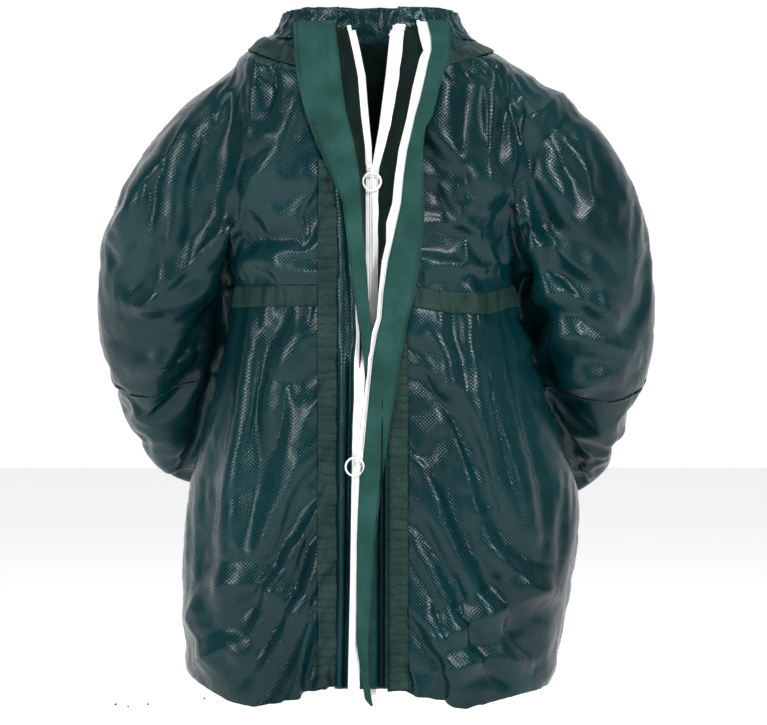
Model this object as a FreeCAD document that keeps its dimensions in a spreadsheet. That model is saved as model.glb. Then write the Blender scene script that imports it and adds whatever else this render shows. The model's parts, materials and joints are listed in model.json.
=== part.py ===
import FreeCAD, Part
import math
import os

from FreeCAD import Placement, Rotation, Vector

# A hip-length protective jacket, standing as it hangs on a wearer whose arms are folded behind
# the back.  Millimetres, +Z up, the front faces -Y and the wearer's left is +X.  The origin is on
# the wearer's neck line, level with the lowest point of the neck seam at the front.

os.makedirs("parts", exist_ok=True)
doc = FreeCAD.newDocument("jacket")
sheet = doc.addObject("Spreadsheet::Sheet", "Sizes")

# Torso rings from the neck seam to the hem: level, half width and how far back each one reaches.
TORSO_RINGS = {
    "neck": (18, 86, 50),
    "shoulder": (-42, 166, 78),
    "chest": (-110, 174, 100),
    "armpit": (-180, 164, 105),
    "waist": (-260, 146, 85),
    "hip": (-350, 176, 105),
    "skirt": (-500, 208, 140),
    "fold": (-640, 207, 148),
    "hem": (-680, 203, 148),
}

# Sleeve rings from inside the armhole to the wrist: across, back, up and radius.
SLEEVE_RINGS = {
    "armhole": (112, -6, -80, 60),
    "deltoid": (160, -2, -108, 62),
    "biceps": (200, 6, -168, 62),
    "forearm": (228, 17, -238, 62),
    "elbow": (228, 44, -305, 62),
    "ulna": (192, 94, -362, 58),
    "wrist": (138, 142, -404, 49),
    "cuff": (86, 172, -430, 41),
    "opening": (50, 188, -445, 36),
}

SIZES = {
    "fabric": 2.0,
    "front_reach": -100.0,
    "front_slope": 0.07,
    "collar_top": 42.0,
    "collar_flare": 2.0,
    "throat_right": -43.0,
    "throat_left": 48.0,
    "front_tape_right_top": -126.0,
    "front_tape_left_top": -336.0,
    "front_tape_foot": -676.0,
    "neck_tape_low": 2.0,
    "neck_tape_high": 17.0,
    "neck_tape_gap": 62.0,
    "waist_gap_right": -60.0,
    "waist_gap_left": 45.0,
    "neckline_width": 60.0,
    "neckline_tall": 260.0,
    "hem_height": 22.0,
    "hem_thickness": 3.0,
    "cuff_thickness": 3.0,
    "placket_half": 22.0,
    "neckline_lean": 7.9,
    "facing_depth": 1.3,
    "tape_gap": 0.3,
    "tape_thickness": 0.9,
    "waist_tape_width": 22.0,
    "seam_tape_width": 23.0,
    "seam_tape_right": -56.0,
    "seam_tape_left": 14.0,
    "elastic_width": 12.0,
    "elastic_thickness": 1.5,
    "elastic_bead": 1.2,
    "seam_bead": 1.2,
    "coil_width": 2.4,
    "coil_height": 3.0,
    "chain_gap": 0.6,
    "zip_tape_width": 9.0,
    "zip_tape_thickness": 1.0,
    "inner_plane": -1.1,
    "outer_plane": 12.3,
    "zip_bottom": -664.0,
    "inner_open_level": -128.0,
    "inner_top_level": 16.0,
    "outer_open_level": -424.0,
    "outer_top_level": 14.0,
    "outer_chain_top": -14.0,
    "outer_chain_lean": 1.4,
    "outer_right_lean": -3.8,
    "outer_left_lean": 8.2,
    "slider_width": 10.0,
    "slider_length": 13.0,
    "slider_seat": 4.0,
    "plate_thickness": 1.6,
    "plate_gap": 4.4,
    "post_width": 0.9,
    "bridge_width": 2.5,
    "bridge_wall": 1.2,
    "bridge_length": 10.0,
    "ring_radius": 9.25,
    "wire_radius": 1.15,
    "wire_play": 0.4,
    "stop_width": 4.0,
    "stop_length": 5.0,
    "box_width": 9.0,
    "box_length": 12.0,
    "placket_wall": 2.2,
    "placket_low": 1.5,
    "placket_top": 11.6,
    "placket_layer": 3.4,
    "placket_wall_right": -31.5,
    "placket_wall_left": 11.0,
    "placket_left_rise": 90.0,
    "placket_rise_width": 4.0,
    "placket_overlap": 4.0,
    "placket_sink": 1.0,
    "inner_flap_axis_low": -347.0,
    "inner_flap_axis_high": 23.0,
    "inner_flap_axis_across": 0.5,
    "inner_flap_lean": -6.8,
    "inner_flap_width": 43.0,
    "inner_flap_layer": 14.2,
    "outer_flap_axis_low": -680.0,
    "outer_flap_axis_high": 20.0,
    "outer_flap_axis_across": -19.0,
    "outer_flap_lean": 6.12,
    "outer_flap_width": 27.0,
    "outer_flap_layer": 14.7,
    "flap_thickness": 1.2,
    "flap_clearance": 2.5,
}


def fill_sheet():
    """Put every driving size into the sheet, one row each, under its own alias."""
    rows = dict(SIZES)
    for name, (level, half, back) in TORSO_RINGS.items():
        rows.update({name + "_level": level, name + "_half": half, name + "_back": back})
    for name, (across, back, up, radius) in SLEEVE_RINGS.items():
        rows.update({name + "_across": across, name + "_depth": back})
        rows.update({name + "_up": up, name + "_radius": radius})
    for row, (alias, value) in enumerate(rows.items(), start=1):
        sheet.set("A%d" % row, alias)
        sheet.set("B%d" % row, str(float(value)))
        sheet.setAlias("B%d" % row, alias)
    doc.recompute()


fill_sheet()


def size(alias):
    """The number that the sheet holds under this alias."""
    return float(sheet.get(alias))


def bind(item, **expressions):
    """Bind properties of an object to expressions in the sheet's cells."""
    for name, expression in expressions.items():
        item.setExpression(name.replace("__", "."), expression)
    return item


def add(kind, name, label=None):
    item = doc.addObject(kind, name)
    if label:
        item.Label = label
    return item


def block(name, low, high):
    """A plain cutting block between two corners."""
    item = add("Part::Box", name)
    item.Length, item.Width, item.Height = (top - bottom for bottom, top in zip(low, high))
    item.Placement = Placement(Vector(*low), Rotation())
    return item


def cut(name, base, *tools):
    """The base less every tool; the last cut carries the name as its label."""
    for tool in tools:
        item = add("Part::Cut", name)
        item.Base = base
        item.Tool = tool
        item.Refine = False
        base = item
    base.Label = name
    return base


def common(name, base, tool):
    item = add("Part::Common", name, name)
    item.Base = base
    item.Tool = tool
    item.Refine = False
    return item


def fuse(name, *pieces):
    item = add("Part::MultiFuse", name, name)
    item.Shapes = list(pieces)
    return item


def mirror(name, source):
    """The same piece on the wearer's other side."""
    item = add("Part::Mirroring", name, name)
    item.Source = source
    item.Normal = Vector(1, 0, 0)
    return item


def loft(name, sections):
    item = add("Part::Loft", name)
    item.Sections = sections
    item.Solid = True
    item.Ruled = True
    return item


# ---- torso: horizontal oval rings whose front points lie on one straight, leaning line ----

def torso_ring(name, ring, offset):
    """One oval, grown by an offset, whose front point stays on the leaning front line."""
    front = "(Sizes.front_reach + Sizes.front_slope * Sizes.%s_level)" % ring
    item = add("Part::Ellipse", name)
    bind(
        item,
        MajorRadius="Sizes.%s_half + %s" % (ring, offset),
        MinorRadius="(Sizes.%s_back - %s) / 2 + %s" % (ring, front, offset),
        Placement__Base__y="(Sizes.%s_back + %s) / 2" % (ring, front),
        Placement__Base__z="Sizes.%s_level" % ring,
    )
    return item


def torso_solid(name, offset):
    rings = [torso_ring("%s_%s" % (name, ring), ring, offset) for ring in TORSO_RINGS]
    return loft(name, rings)


def layer(name, outside, inside):
    """The skin between two grown torsos."""
    return cut(name, torso_solid(name + "_out", outside), torso_solid(name + "_in", inside))


FAR = 400.0
BACK_SEAM = -5.0
THROAT_BACK = -30.0
HEM_TOP = size("hem_level") + size("hem_height")


def slab(name, bottom, top, left=-FAR, right=FAR, front=-FAR, back=FAR):
    return block(name, (left, front, bottom), (right, back, top))


def neckline_tool(name, side):
    """A leaning block that opens the front above the inner zip, on one side."""
    item = add("Part::Box", name)
    item.Length, item.Width, item.Height = size("neckline_width"), FAR, size("neckline_tall")
    spin = Rotation(Vector(0, 1, 0), side * size("neckline_lean"))
    corner = spin.multVec(Vector(0 if side < 0 else -size("neckline_width"), 0, 0))
    start = Vector(side * size("placket_half"), -FAR, size("inner_open_level"))
    item.Placement = Placement(start + corner, spin)
    return item


def build_torso(armholes):
    half = size("placket_half")
    shell = cut("torso_shell", layer("torso_skin", "0", "-Sizes.fabric"), *armholes)
    for side, name in ((-1, "right"), (1, "left")):
        low, high = sorted((side * half, side * FAR))
        front = common("front_%s_blank" % name, shell,
                       slab("front_%s_slab" % name, HEM_TOP, FAR, low, high, -FAR, BACK_SEAM))
        cut("front_panel_" + name, front, neckline_tool("neckline_" + name, side))
    common("back_panel", shell, slab("back_slab", HEM_TOP, FAR, -FAR, FAR, BACK_SEAM, FAR))


def build_hem():
    half = size("placket_half")
    skin = layer("hem_skin", "0", "-Sizes.hem_thickness")
    for side, name in ((-1, "right"), (1, "left")):
        low, high = sorted((side * half, side * FAR))
        common("hem_front_" + name, skin,
               slab("hem_%s_slab" % name, -FAR * 2, HEM_TOP, low, high, -FAR, BACK_SEAM))
    common("hem_back", skin, slab("hem_back_slab", -FAR * 2, HEM_TOP, back=FAR, front=BACK_SEAM))


def build_tapes():
    """Seam tapes lie just clear of the fabric: down both fronts, round the waist and neck."""
    skin = layer("tape_skin", "Sizes.tape_gap + Sizes.tape_thickness", "Sizes.tape_gap")
    width = size("seam_tape_width")
    right, left = size("seam_tape_right"), size("seam_tape_left")
    foot = size("front_tape_foot")
    common("front_tape_right", skin,
           slab("tape_right_slab", foot, size("front_tape_right_top"), right, right + width, back=0))
    common("front_tape_left", skin,
           slab("tape_left_slab", foot, size("front_tape_left_top"), left, left + width, back=0))
    low = size("waist_level") - size("waist_tape_width") / 2
    high = low + size("waist_tape_width")
    common("waist_tape_right", skin, slab("waist_right_slab", low, high, -FAR, right - 1, back=BACK_SEAM))
    common("waist_tape_left", skin,
           slab("waist_left_slab", low, high, left + width + 1, FAR, back=BACK_SEAM))
    common("waist_tape_back", skin, slab("waist_back_slab", low, high, front=BACK_SEAM))
    low, high = size("neck_tape_low"), size("neck_tape_high")
    neck = common("neck_tape_ring", skin, slab("neck_tape_slab", low, high))
    gap = size("neck_tape_gap")
    cut("neck_tape", neck, slab("neck_tape_gap", -FAR, FAR, -gap, gap, back=0))


def build_waist_elastic():
    """A flat elastic band inside the waist channel."""
    front = "(Sizes.front_reach + Sizes.front_slope * Sizes.waist_level)"
    bands = []
    for name, inset in (("out", "Sizes.tape_gap"), ("in", "(Sizes.tape_gap + Sizes.elastic_thickness)")):
        ring = add("Part::Ellipse", "elastic_ring_" + name)
        bind(
            ring,
            MajorRadius="Sizes.waist_half - Sizes.fabric - %s" % inset,
            MinorRadius="(Sizes.waist_back - %s) / 2 - Sizes.fabric - %s - 2" % (front, inset),
            Placement__Base__y="(Sizes.waist_back + %s) / 2" % front,
            Placement__Base__z="Sizes.waist_level - Sizes.elastic_width / 2",
        )
        band = add("Part::Extrusion", "elastic_band_" + name)
        band.Base = ring
        band.Dir = Vector(0, 0, 1)
        band.DirMode = "Custom"
        band.Solid = True
        bind(band, LengthFwd="Sizes.elastic_width")
        bands.append(band)
    cut("waist_elastic", *bands,
        slab("elastic_gap", -FAR, FAR, size("waist_gap_right"), size("waist_gap_left"), back=0))


def build_collar():
    """A stand collar that leaves the throat open at the front."""
    solids = []
    for name, offset in (("out", "0"), ("in", "-Sizes.fabric")):
        foot = torso_ring("collar_foot_" + name, "neck", offset)
        top = torso_ring("collar_top_" + name, "neck", "Sizes.collar_flare + " + offset)
        bind(top, Placement__Base__z="Sizes.collar_top")
        solids.append(loft("collar_" + name, [foot, top]))
    ring = cut("collar_ring", *solids)
    cut("collar", ring,
        slab("collar_gap", -FAR, FAR, size("throat_right"), size("throat_left"), back=THROAT_BACK))


# ---- sleeves: round rings along the bent arm, in two lengths and a cuff ----

def sleeve_direction(rings, index):
    """The arm's direction at a ring, from its neighbours' centres."""
    before = rings[max(index - 1, 0)]
    after = rings[min(index + 1, len(rings) - 1)]
    return sleeve_centre(after) - sleeve_centre(before)


def sleeve_centre(ring):
    return Vector(size(ring + "_across"), size(ring + "_depth"), size(ring + "_up"))


def sleeve_placement(ring):
    """A ring's own frame: its axis along the arm, its start towards the back."""
    every = list(SLEEVE_RINGS)
    along = sleeve_direction(every, every.index(ring))
    facing = Rotation(Vector(0, 1, 0), Vector(), along, "ZXY")
    return Placement(sleeve_centre(ring), facing)


def sleeve_solid(name, rings, inset):
    circles = []
    for ring in rings:
        circle = add("Part::Circle", "%s_%s" % (name, ring))
        bind(circle, Radius="Sizes.%s_radius - %s" % (ring, inset))
        circle.Placement = sleeve_placement(ring)
        circles.append(circle)
    return loft(name, circles)


def ring_on_sleeve(name, ring, radius, bead):
    """A thin round bead about the sleeve at one of its rings."""
    item = add("Part::Torus", name, name)
    bind(item, Radius1=radius, Radius2=bead)
    item.Placement = sleeve_placement(ring)
    return item


def build_sleeves():
    """Left sleeve pieces, each mirrored for the right; returns the two armhole tools."""
    every = list(SLEEVE_RINGS)
    upper, lower, cuff = every[:5], every[4:8], every[7:]
    body = torso_solid("torso_clear", "Sizes.tape_gap")
    arm_inside = sleeve_solid("arm_inside", upper, "Sizes.fabric")
    pieces = {
        "sleeve_upper": (cut("upper_tube", sleeve_solid("upper_out", upper, "0"), arm_inside, body)),
        "sleeve_lower": cut("lower_tube", sleeve_solid("lower_out", lower, "0"),
                            sleeve_solid("lower_in", lower, "Sizes.fabric"), body),
        "cuff": cut("cuff_tube", sleeve_solid("cuff_out", cuff, "0"),
                    sleeve_solid("cuff_in", cuff, "Sizes.cuff_thickness")),
        "elbow_seam": ring_on_sleeve("elbow_bead", "elbow",
                                     "Sizes.elbow_radius + 1.5 * Sizes.seam_bead", "Sizes.seam_bead"),
        "cuff_elastic": ring_on_sleeve("elastic_bead", "opening",
                                       "Sizes.opening_radius - Sizes.cuff_thickness"
                                       " - 1.5 * Sizes.elastic_bead", "Sizes.elastic_bead"),
    }
    for name, piece in pieces.items():
        piece.Label = name + "_left"
        mirror(name + "_right", piece)
    return arm_inside, mirror("arm_inside_right", arm_inside)


# ---- front closure: flat pieces in a frame that leans with the front line ----

LEAN = math.degrees(math.atan(size("front_slope")))
CLOSURE = Placement(Vector(0, size("front_reach"), 0), Rotation(Vector(1, 0, 0), -LEAN))


def in_closure(across, outward, up, lean=0.0):
    """A placement in the closure: across, out of the front plane, and up, leaning sideways."""
    local = Placement(Vector(across, -outward, up), Rotation(Vector(0, 1, 0), lean))
    return CLOSURE.multiply(local)


def closure_box(name, width, thick, tall, place):
    """A box whose width runs across, its thickness out of the front and its height up."""
    item = add("Part::Box", name, name)
    bind(item, Length=width, Width=thick, Height=tall)
    item.Placement = place
    return item


def shifted(place, across=0.0, outward=0.0, up=0.0):
    return place.multiply(Placement(Vector(across, -outward, up), Rotation()))


def zip_run(name, foot, side, tall):
    """One side of a zip along a straight run from its foot: tape, then coil beside the middle."""
    gap, coil, tape = size("chain_gap"), size("coil_width"), size("zip_tape_width")
    coil_across = gap if side > 0 else -gap - coil
    tape_across = gap + coil if side > 0 else -gap - coil - tape
    coil_box = closure_box(name + "_coil_run", "Sizes.coil_width", "Sizes.coil_height", tall,
                           shifted(foot, coil_across, size("coil_height") / 2))
    tape_box = closure_box(name + "_tape_run", "Sizes.zip_tape_width", "Sizes.zip_tape_thickness", tall,
                           shifted(foot, tape_across, size("zip_tape_thickness") / 2))
    return tape_box, coil_box


def build_zip(prefix, chain_foot, fork, leans, top_level, length):
    """Both sides of a zip: closed from the foot to the fork, open and leaning apart above it."""
    stops = []
    for side, name in ((-1, "right"), (1, "left")):
        closed = zip_run("%s_%s_closed" % (prefix, name), chain_foot, side, length)
        lean = leans[name]
        start = fork.multiply(Placement(Vector(side * size("chain_gap"), 0, 0),
                                        Rotation(Vector(0, 1, 0), lean)))
        run = (size(top_level) - size(prefix + "_open_level")) / math.cos(math.radians(lean))
        opened = zip_run("%s_%s_open" % (prefix, name), start, side, str(run))
        fuse("%s_zip_tape_%s" % (prefix, name), closed[0], opened[0])
        fuse("%s_zip_coil_%s" % (prefix, name), closed[1], opened[1])
        across = size("chain_gap") if side > 0 else -size("chain_gap") - size("stop_width")
        stops.append(closure_box("%s_stop_%s" % (prefix, name), "Sizes.stop_width",
                                 "Sizes.coil_height", "Sizes.stop_length",
                                 shifted(start, across, size("coil_height") / 2, run)))
    top = add("Part::Compound", prefix + "_zip_top_stops", prefix + "_zip_top_stops")
    top.Links = stops
    closure_box(prefix + "_zip_bottom_box", "Sizes.box_width", "Sizes.plate_gap", "Sizes.box_length",
                shifted(chain_foot, -size("box_width") / 2, size("plate_gap") / 2,
                        -size("box_length")))


def build_slider(prefix, centre):
    """A slider of two plates about a thin post, with a bridge that holds the ring puller."""
    wide, tall = size("slider_width"), size("slider_length")
    gap, plate = size("plate_gap"), size("plate_thickness")
    low = -tall / 2
    front = closure_box(prefix + "_front_plate", "Sizes.slider_width", "Sizes.plate_thickness",
                        "Sizes.slider_length", shifted(centre, -wide / 2, gap / 2 + plate, low))
    rear = closure_box(prefix + "_rear_plate", "Sizes.slider_width", "Sizes.plate_thickness",
                       "Sizes.slider_length", shifted(centre, -wide / 2, -gap / 2, low))
    post = closure_box(prefix + "_post", "Sizes.post_width", "Sizes.plate_gap",
                       "Sizes.slider_length", shifted(centre, -size("post_width") / 2, gap / 2, low))
    long, wall = size("bridge_length"), size("bridge_wall")
    rise = 2 * (size("wire_radius") + size("wire_play"))
    face = gap / 2 + plate
    bridge = [
        closure_box(prefix + "_bridge_top", "Sizes.bridge_width", "Sizes.bridge_wall",
                    "Sizes.bridge_length",
                    shifted(centre, -size("bridge_width") / 2, face + rise + wall, -long / 2))
    ]
    for end, up in (("low", -long / 2), ("high", long / 2 - wall)):
        leg = closure_box("%s_bridge_%s" % (prefix, end), "Sizes.bridge_width",
                          "2 * (Sizes.wire_radius + Sizes.wire_play)", "Sizes.bridge_wall",
                          shifted(centre, -size("bridge_width") / 2, face + rise, up))
        bridge.append(leg)
    fuse(prefix + "_slider_body", front, rear, post, *bridge)
    build_puller(prefix, centre, face + rise / 2, -long / 2 + wall)


def build_puller(prefix, centre, outward, ledge):
    """A wire ring that hangs through the bridge, its top wire on the hinge line."""
    hinge = ledge + size("wire_radius") + size("wire_play")
    ring = add("Part::Torus", prefix + "_ring_puller", prefix + "_ring_puller")
    bind(ring, Radius1="Sizes.ring_radius", Radius2="Sizes.wire_radius")
    hang = shifted(centre, 0, outward, hinge - size("ring_radius"))
    ring.Placement = hang.multiply(Placement(Vector(), Rotation(Vector(1, 0, 0), 90)))
    place = shifted(centre, 0, outward, hinge).Base
    print("%s puller hinge %.2f %.2f %.2f" % (prefix, place.x, place.y, place.z))


def build_facings():
    """Flat strips that join each zip tape to its front panel."""
    clear, sunk = size("tape_gap"), -size("facing_depth")
    inner = size("chain_gap") + size("coil_width") + size("zip_tape_width") + clear
    outer = size("placket_half") - size("facing_depth")
    foot, fork = size("zip_bottom"), size("inner_open_level")
    for side, name in ((-1, "right"), (1, "left")):
        across = inner if side > 0 else -outer
        low = closure_box("facing_%s_low" % name, str(outer - inner), "Sizes.fabric", str(fork - foot),
                          in_closure(across, sunk, foot))
        lean = side * size("neckline_lean")
        start = in_closure(side * size("chain_gap"), sunk, fork, lean)
        high = closure_box("facing_%s_high" % name, str(outer - inner), "Sizes.fabric",
                           str(size("inner_top_level") - fork), shifted(start, across))
        fuse("front_facing_" + name, low, high)


def build_plackets(fork):
    """Raised folds that carry the outer zip: an upright wall and a layer reaching the tape."""
    wall, low, top = size("placket_wall"), size("placket_low"), size("placket_top")
    deep = size("placket_layer")
    foot, open_level = size("zip_bottom"), size("outer_open_level")
    reach = size("chain_gap") + size("coil_width") + size("zip_tape_width")
    for side, name in ((-1, "right"), (1, "left")):
        rise = size("placket_left_rise") if side > 0 else 0
        pieces = [closure_box("placket_%s_wall" % name, "Sizes.placket_wall", str(top - low),
                              str(open_level - foot + rise),
                              in_closure(size("placket_wall_" + name), top, foot))]
        lean = size("outer_%s_lean" % name)
        start = fork.multiply(Placement(Vector(), Rotation(Vector(0, 1, 0), lean)))
        run = (size("outer_top_level") - open_level) / math.cos(math.radians(lean))
        edge = reach if side > 0 else -reach - size("placket_overlap")
        pieces.append(closure_box("placket_%s_rise" % name, "Sizes.placket_rise_width", str(deep),
                                  str(run), shifted(start, edge, -size("placket_sink"))))
        fuse("storm_placket_" + name, *pieces)


def build_flap(prefix, side):
    """A storm flap lying folded open beside its sewn edge, which is its hinge line."""
    low, high = size(prefix + "_flap_axis_low"), size(prefix + "_flap_axis_high")
    lean = size(prefix + "_flap_lean")
    width, clear = size(prefix + "_flap_width"), size("flap_clearance")
    axis = in_closure(size(prefix + "_flap_axis_across"), size(prefix + "_flap_layer"), low, lean)
    item = add("Part::Wedge", prefix + "_storm_flap", prefix + "_storm_flap")
    tall = (high - low) / math.cos(math.radians(lean))
    narrow = 0.35 if side < 0 else 0.6
    edges = sorted((side * clear, side * narrow * width))
    tops = sorted((side * clear, side * width))
    item.Xmin, item.Xmax = edges
    item.X2min, item.X2max = tops
    item.Ymin, item.Ymax = 0, tall
    bind(item, Zmax="Sizes.flap_thickness", Z2max="Sizes.flap_thickness")
    item.Zmin, item.Z2min = 0, 0
    item.Placement = axis.multiply(Placement(Vector(), Rotation(Vector(1, 0, 0), 90)))
    top = shifted(axis, up=tall).Base
    print("%s flap axis %s to %s" % (prefix, tuple(axis.Base), tuple(top)))


def build_closure():
    open_level, foot = size("inner_open_level"), size("zip_bottom")
    inner_foot = in_closure(0, size("inner_plane"), foot)
    inner_fork = in_closure(0, size("inner_plane"), open_level)
    lean = size("neckline_lean")
    build_zip("inner", inner_foot, inner_fork, {"right": -lean, "left": lean},
              "inner_top_level", "Sizes.inner_open_level - Sizes.zip_bottom")
    build_slider("inner", shifted(inner_fork, up=-size("slider_seat")))
    outer_lean = size("outer_chain_lean")
    outer_fork = in_closure(size("outer_chain_top"), size("outer_plane"), size("outer_open_level"),
                            outer_lean)
    drop = (size("outer_open_level") - foot) / math.cos(math.radians(outer_lean))
    outer_foot = shifted(outer_fork, up=-drop)
    leans = {"right": size("outer_right_lean"), "left": size("outer_left_lean")}
    build_zip("outer", outer_foot, outer_fork, leans, "outer_top_level", str(drop))
    build_slider("outer", shifted(outer_fork, up=-size("slider_seat")))
    build_facings()
    build_plackets(outer_fork)
    build_flap("inner", -1)
    build_flap("outer", 1)


NODES = [
    "front_panel_right", "front_panel_left", "back_panel",
    "hem_front_right", "hem_front_left", "hem_back",
    "collar", "neck_tape",
    "front_tape_right", "front_tape_left",
    "waist_tape_right", "waist_tape_left", "waist_tape_back", "waist_elastic",
    "sleeve_upper_right", "sleeve_upper_left", "sleeve_lower_right", "sleeve_lower_left",
    "cuff_right", "cuff_left", "elbow_seam_right", "elbow_seam_left",
    "cuff_elastic_right", "cuff_elastic_left",
    "front_facing_right", "front_facing_left",
    "inner_zip_tape_right", "inner_zip_tape_left", "inner_zip_coil_right", "inner_zip_coil_left",
    "inner_zip_top_stops", "inner_zip_bottom_box", "inner_slider_body", "inner_ring_puller",
    "storm_placket_right", "storm_placket_left",
    "outer_zip_tape_right", "outer_zip_tape_left", "outer_zip_coil_right", "outer_zip_coil_left",
    "outer_zip_top_stops", "outer_zip_bottom_box", "outer_slider_body", "outer_ring_puller",
    "inner_storm_flap", "outer_storm_flap",
]


def export_nodes():
    """Check the whole document, then write one STEP file per sub-part."""
    for item in doc.Objects:
        if "Invalid" in item.State or "Error" in item.State:
            raise RuntimeError("%s failed to compute: %s" % (item.Name, item.State))
    for label in NODES:
        item = doc.getObjectsByLabel(label)[0]
        if item.Shape.isNull() or not item.Shape.isValid():
            raise RuntimeError(label + " has no valid shape")
        item.Shape.exportStep("parts/%s.step" % label)
        print("%-24s %8.2f cm3, %d solids" % (label, item.Shape.Volume / 1000, len(item.Shape.Solids)))


build_torso(build_sleeves())
build_hem()
build_tapes()
build_waist_elastic()
build_collar()
build_closure()
doc.recompute()
export_nodes()
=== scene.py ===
import bmesh
import bpy
import json
import math
import numpy
import random
from mathutils import Matrix, Vector, noise
from mathutils.bvhtree import BVHTree


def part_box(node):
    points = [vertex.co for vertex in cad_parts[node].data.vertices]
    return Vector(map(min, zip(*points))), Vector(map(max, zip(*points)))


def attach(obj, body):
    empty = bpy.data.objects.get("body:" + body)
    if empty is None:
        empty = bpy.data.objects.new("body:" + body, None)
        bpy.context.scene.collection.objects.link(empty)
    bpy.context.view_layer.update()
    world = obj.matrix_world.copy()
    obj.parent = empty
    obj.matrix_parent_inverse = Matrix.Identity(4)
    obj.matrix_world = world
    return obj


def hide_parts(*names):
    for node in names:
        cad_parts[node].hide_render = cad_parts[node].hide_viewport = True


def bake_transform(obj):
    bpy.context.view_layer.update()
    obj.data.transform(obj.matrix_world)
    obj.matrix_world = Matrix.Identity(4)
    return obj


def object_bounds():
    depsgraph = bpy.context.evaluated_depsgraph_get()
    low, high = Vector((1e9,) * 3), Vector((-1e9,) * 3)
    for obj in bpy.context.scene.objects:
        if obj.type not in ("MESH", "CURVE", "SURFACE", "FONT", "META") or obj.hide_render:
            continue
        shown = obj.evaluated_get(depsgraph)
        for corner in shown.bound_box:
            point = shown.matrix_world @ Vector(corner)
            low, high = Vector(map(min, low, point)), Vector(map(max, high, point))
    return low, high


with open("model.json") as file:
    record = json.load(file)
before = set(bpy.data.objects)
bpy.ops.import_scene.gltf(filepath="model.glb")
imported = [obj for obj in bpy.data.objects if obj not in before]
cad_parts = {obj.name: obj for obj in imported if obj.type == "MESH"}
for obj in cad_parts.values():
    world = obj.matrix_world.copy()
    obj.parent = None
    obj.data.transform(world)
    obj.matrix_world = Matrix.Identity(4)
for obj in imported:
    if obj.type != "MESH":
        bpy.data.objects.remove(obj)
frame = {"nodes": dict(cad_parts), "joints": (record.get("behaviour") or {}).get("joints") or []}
CAD_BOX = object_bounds()
SIM_FRAMES = 34
CLOTH_VOXEL, BODY_VOXEL = 0.008, 0.012  # grid of the cloth, and of the unseen body it drapes over
BODY_INSET = 0.010
BODY_CLOTH = 0.0011                     # the laminate's thickness
FOLD_LIFT = 1.5                         # how much prouder the folds stand than the table gives
OVAL_POWER = 0.92                       # squareness of the torso's oval
HEM_DEPTH = 0.022
SIDE_LINE = -0.005                      # depth of the side seams
RAY_START = -0.5                        # in front of everything, where rays to the front begin
BELT_RADIUS, BELT_DEPTH = 0.13, -0.015  # the waist's mean radius, and the depth of its middle

# Metres in the row frame: +Z up, the front faces -Y, the wearer's left is +X.


# ---- numbers that shape the garment ----

NECK_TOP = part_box("back_panel")[1][2]
HEM_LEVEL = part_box("hem_back")[0][2]
WAIST_LEVEL = (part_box("waist_tape_back")[0][2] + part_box("waist_tape_back")[1][2]) / 2
FRONT_LEAN = 0.0698
FRONT_REACH = -0.100

# level, right side, left side, back
TORSO = [
    (0.060, -0.082, 0.082, 0.050), (0.018, -0.102, 0.098, 0.054), (-0.006, -0.138, 0.140, 0.068),
    (-0.042, -0.178, 0.192, 0.082), (-0.110, -0.176, 0.182, 0.100), (-0.180, -0.160, 0.164, 0.104),
    (-0.230, -0.151, 0.155, 0.092), (-0.260, -0.147, 0.151, 0.086), (-0.310, -0.156, 0.162, 0.094),
    (-0.380, -0.179, 0.194, 0.108), (-0.450, -0.196, 0.218, 0.124), (-0.510, -0.204, 0.224, 0.138),
    (-0.600, -0.209, 0.216, 0.147), (-0.660, -0.207, 0.206, 0.148), (-0.730, -0.203, 0.202, 0.148),
]

# across, depth, up, radius, from inside the shoulder to the wrist
SLEEVE_RIGHT = [
    (-0.100, -0.006, -0.082, 0.058), (-0.164, -0.004, -0.106, 0.066), (-0.212, 0.006, -0.160, 0.065),
    (-0.227, 0.034, -0.226, 0.072), (-0.222, 0.062, -0.294, 0.074), (-0.202, 0.102, -0.362, 0.066),
    (-0.142, 0.146, -0.402, 0.048), (-0.086, 0.174, -0.427, 0.040), (-0.050, 0.189, -0.443, 0.036),
    (-0.024, 0.196, -0.452, 0.036),
]
SLEEVE_LEFT = [
    (0.100, -0.006, -0.080, 0.058), (0.172, -0.004, -0.100, 0.066), (0.220, 0.006, -0.152, 0.065),
    (0.233, 0.034, -0.222, 0.073), (0.228, 0.062, -0.296, 0.080), (0.209, 0.102, -0.374, 0.068),
    (0.148, 0.146, -0.412, 0.050), (0.088, 0.174, -0.434, 0.040), (0.050, 0.189, -0.447, 0.036),
    (0.024, 0.196, -0.454, 0.036),
]

# the closure's lines, as (level, coil edge, outer edge) of each zip half
INNER_HALF_RIGHT = [
    (0.0155, -0.0170, -0.0250), (-0.006, -0.0120, -0.0200), (-0.032, -0.0068, -0.0148),
    (-0.073, -0.0035, -0.0115), (-0.106, -0.0003, -0.0075), (-0.128, 0.0, -0.0066), (-0.664, 0.0, -0.0066),
]
INNER_HALF_LEFT = [
    (0.0155, 0.0195, 0.0335), (-0.032, 0.0146, 0.0285), (-0.085, 0.0079, 0.0192),
    (-0.112, 0.0032, 0.0118), (-0.128, 0.0004, 0.0076), (-0.136, 0.0, 0.0066), (-0.664, 0.0, 0.0066),
]
OUTER_HALF_RIGHT = [
    (0.014, -0.0420, -0.0490), (-0.150, -0.0185, -0.0255), (-0.233, -0.0125, -0.0190),
    (-0.270, -0.0105, -0.0172), (-0.304, -0.0075, -0.0160), (-0.326, -0.0075, -0.0182),
    (-0.348, -0.0070, -0.0184), (-0.369, -0.0080, -0.0184), (-0.394, -0.0112, -0.0196),
    (-0.428, -0.0140, -0.0203), (-0.549, -0.0170, -0.0220), (-0.669, -0.0200, -0.0245),
]
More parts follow.
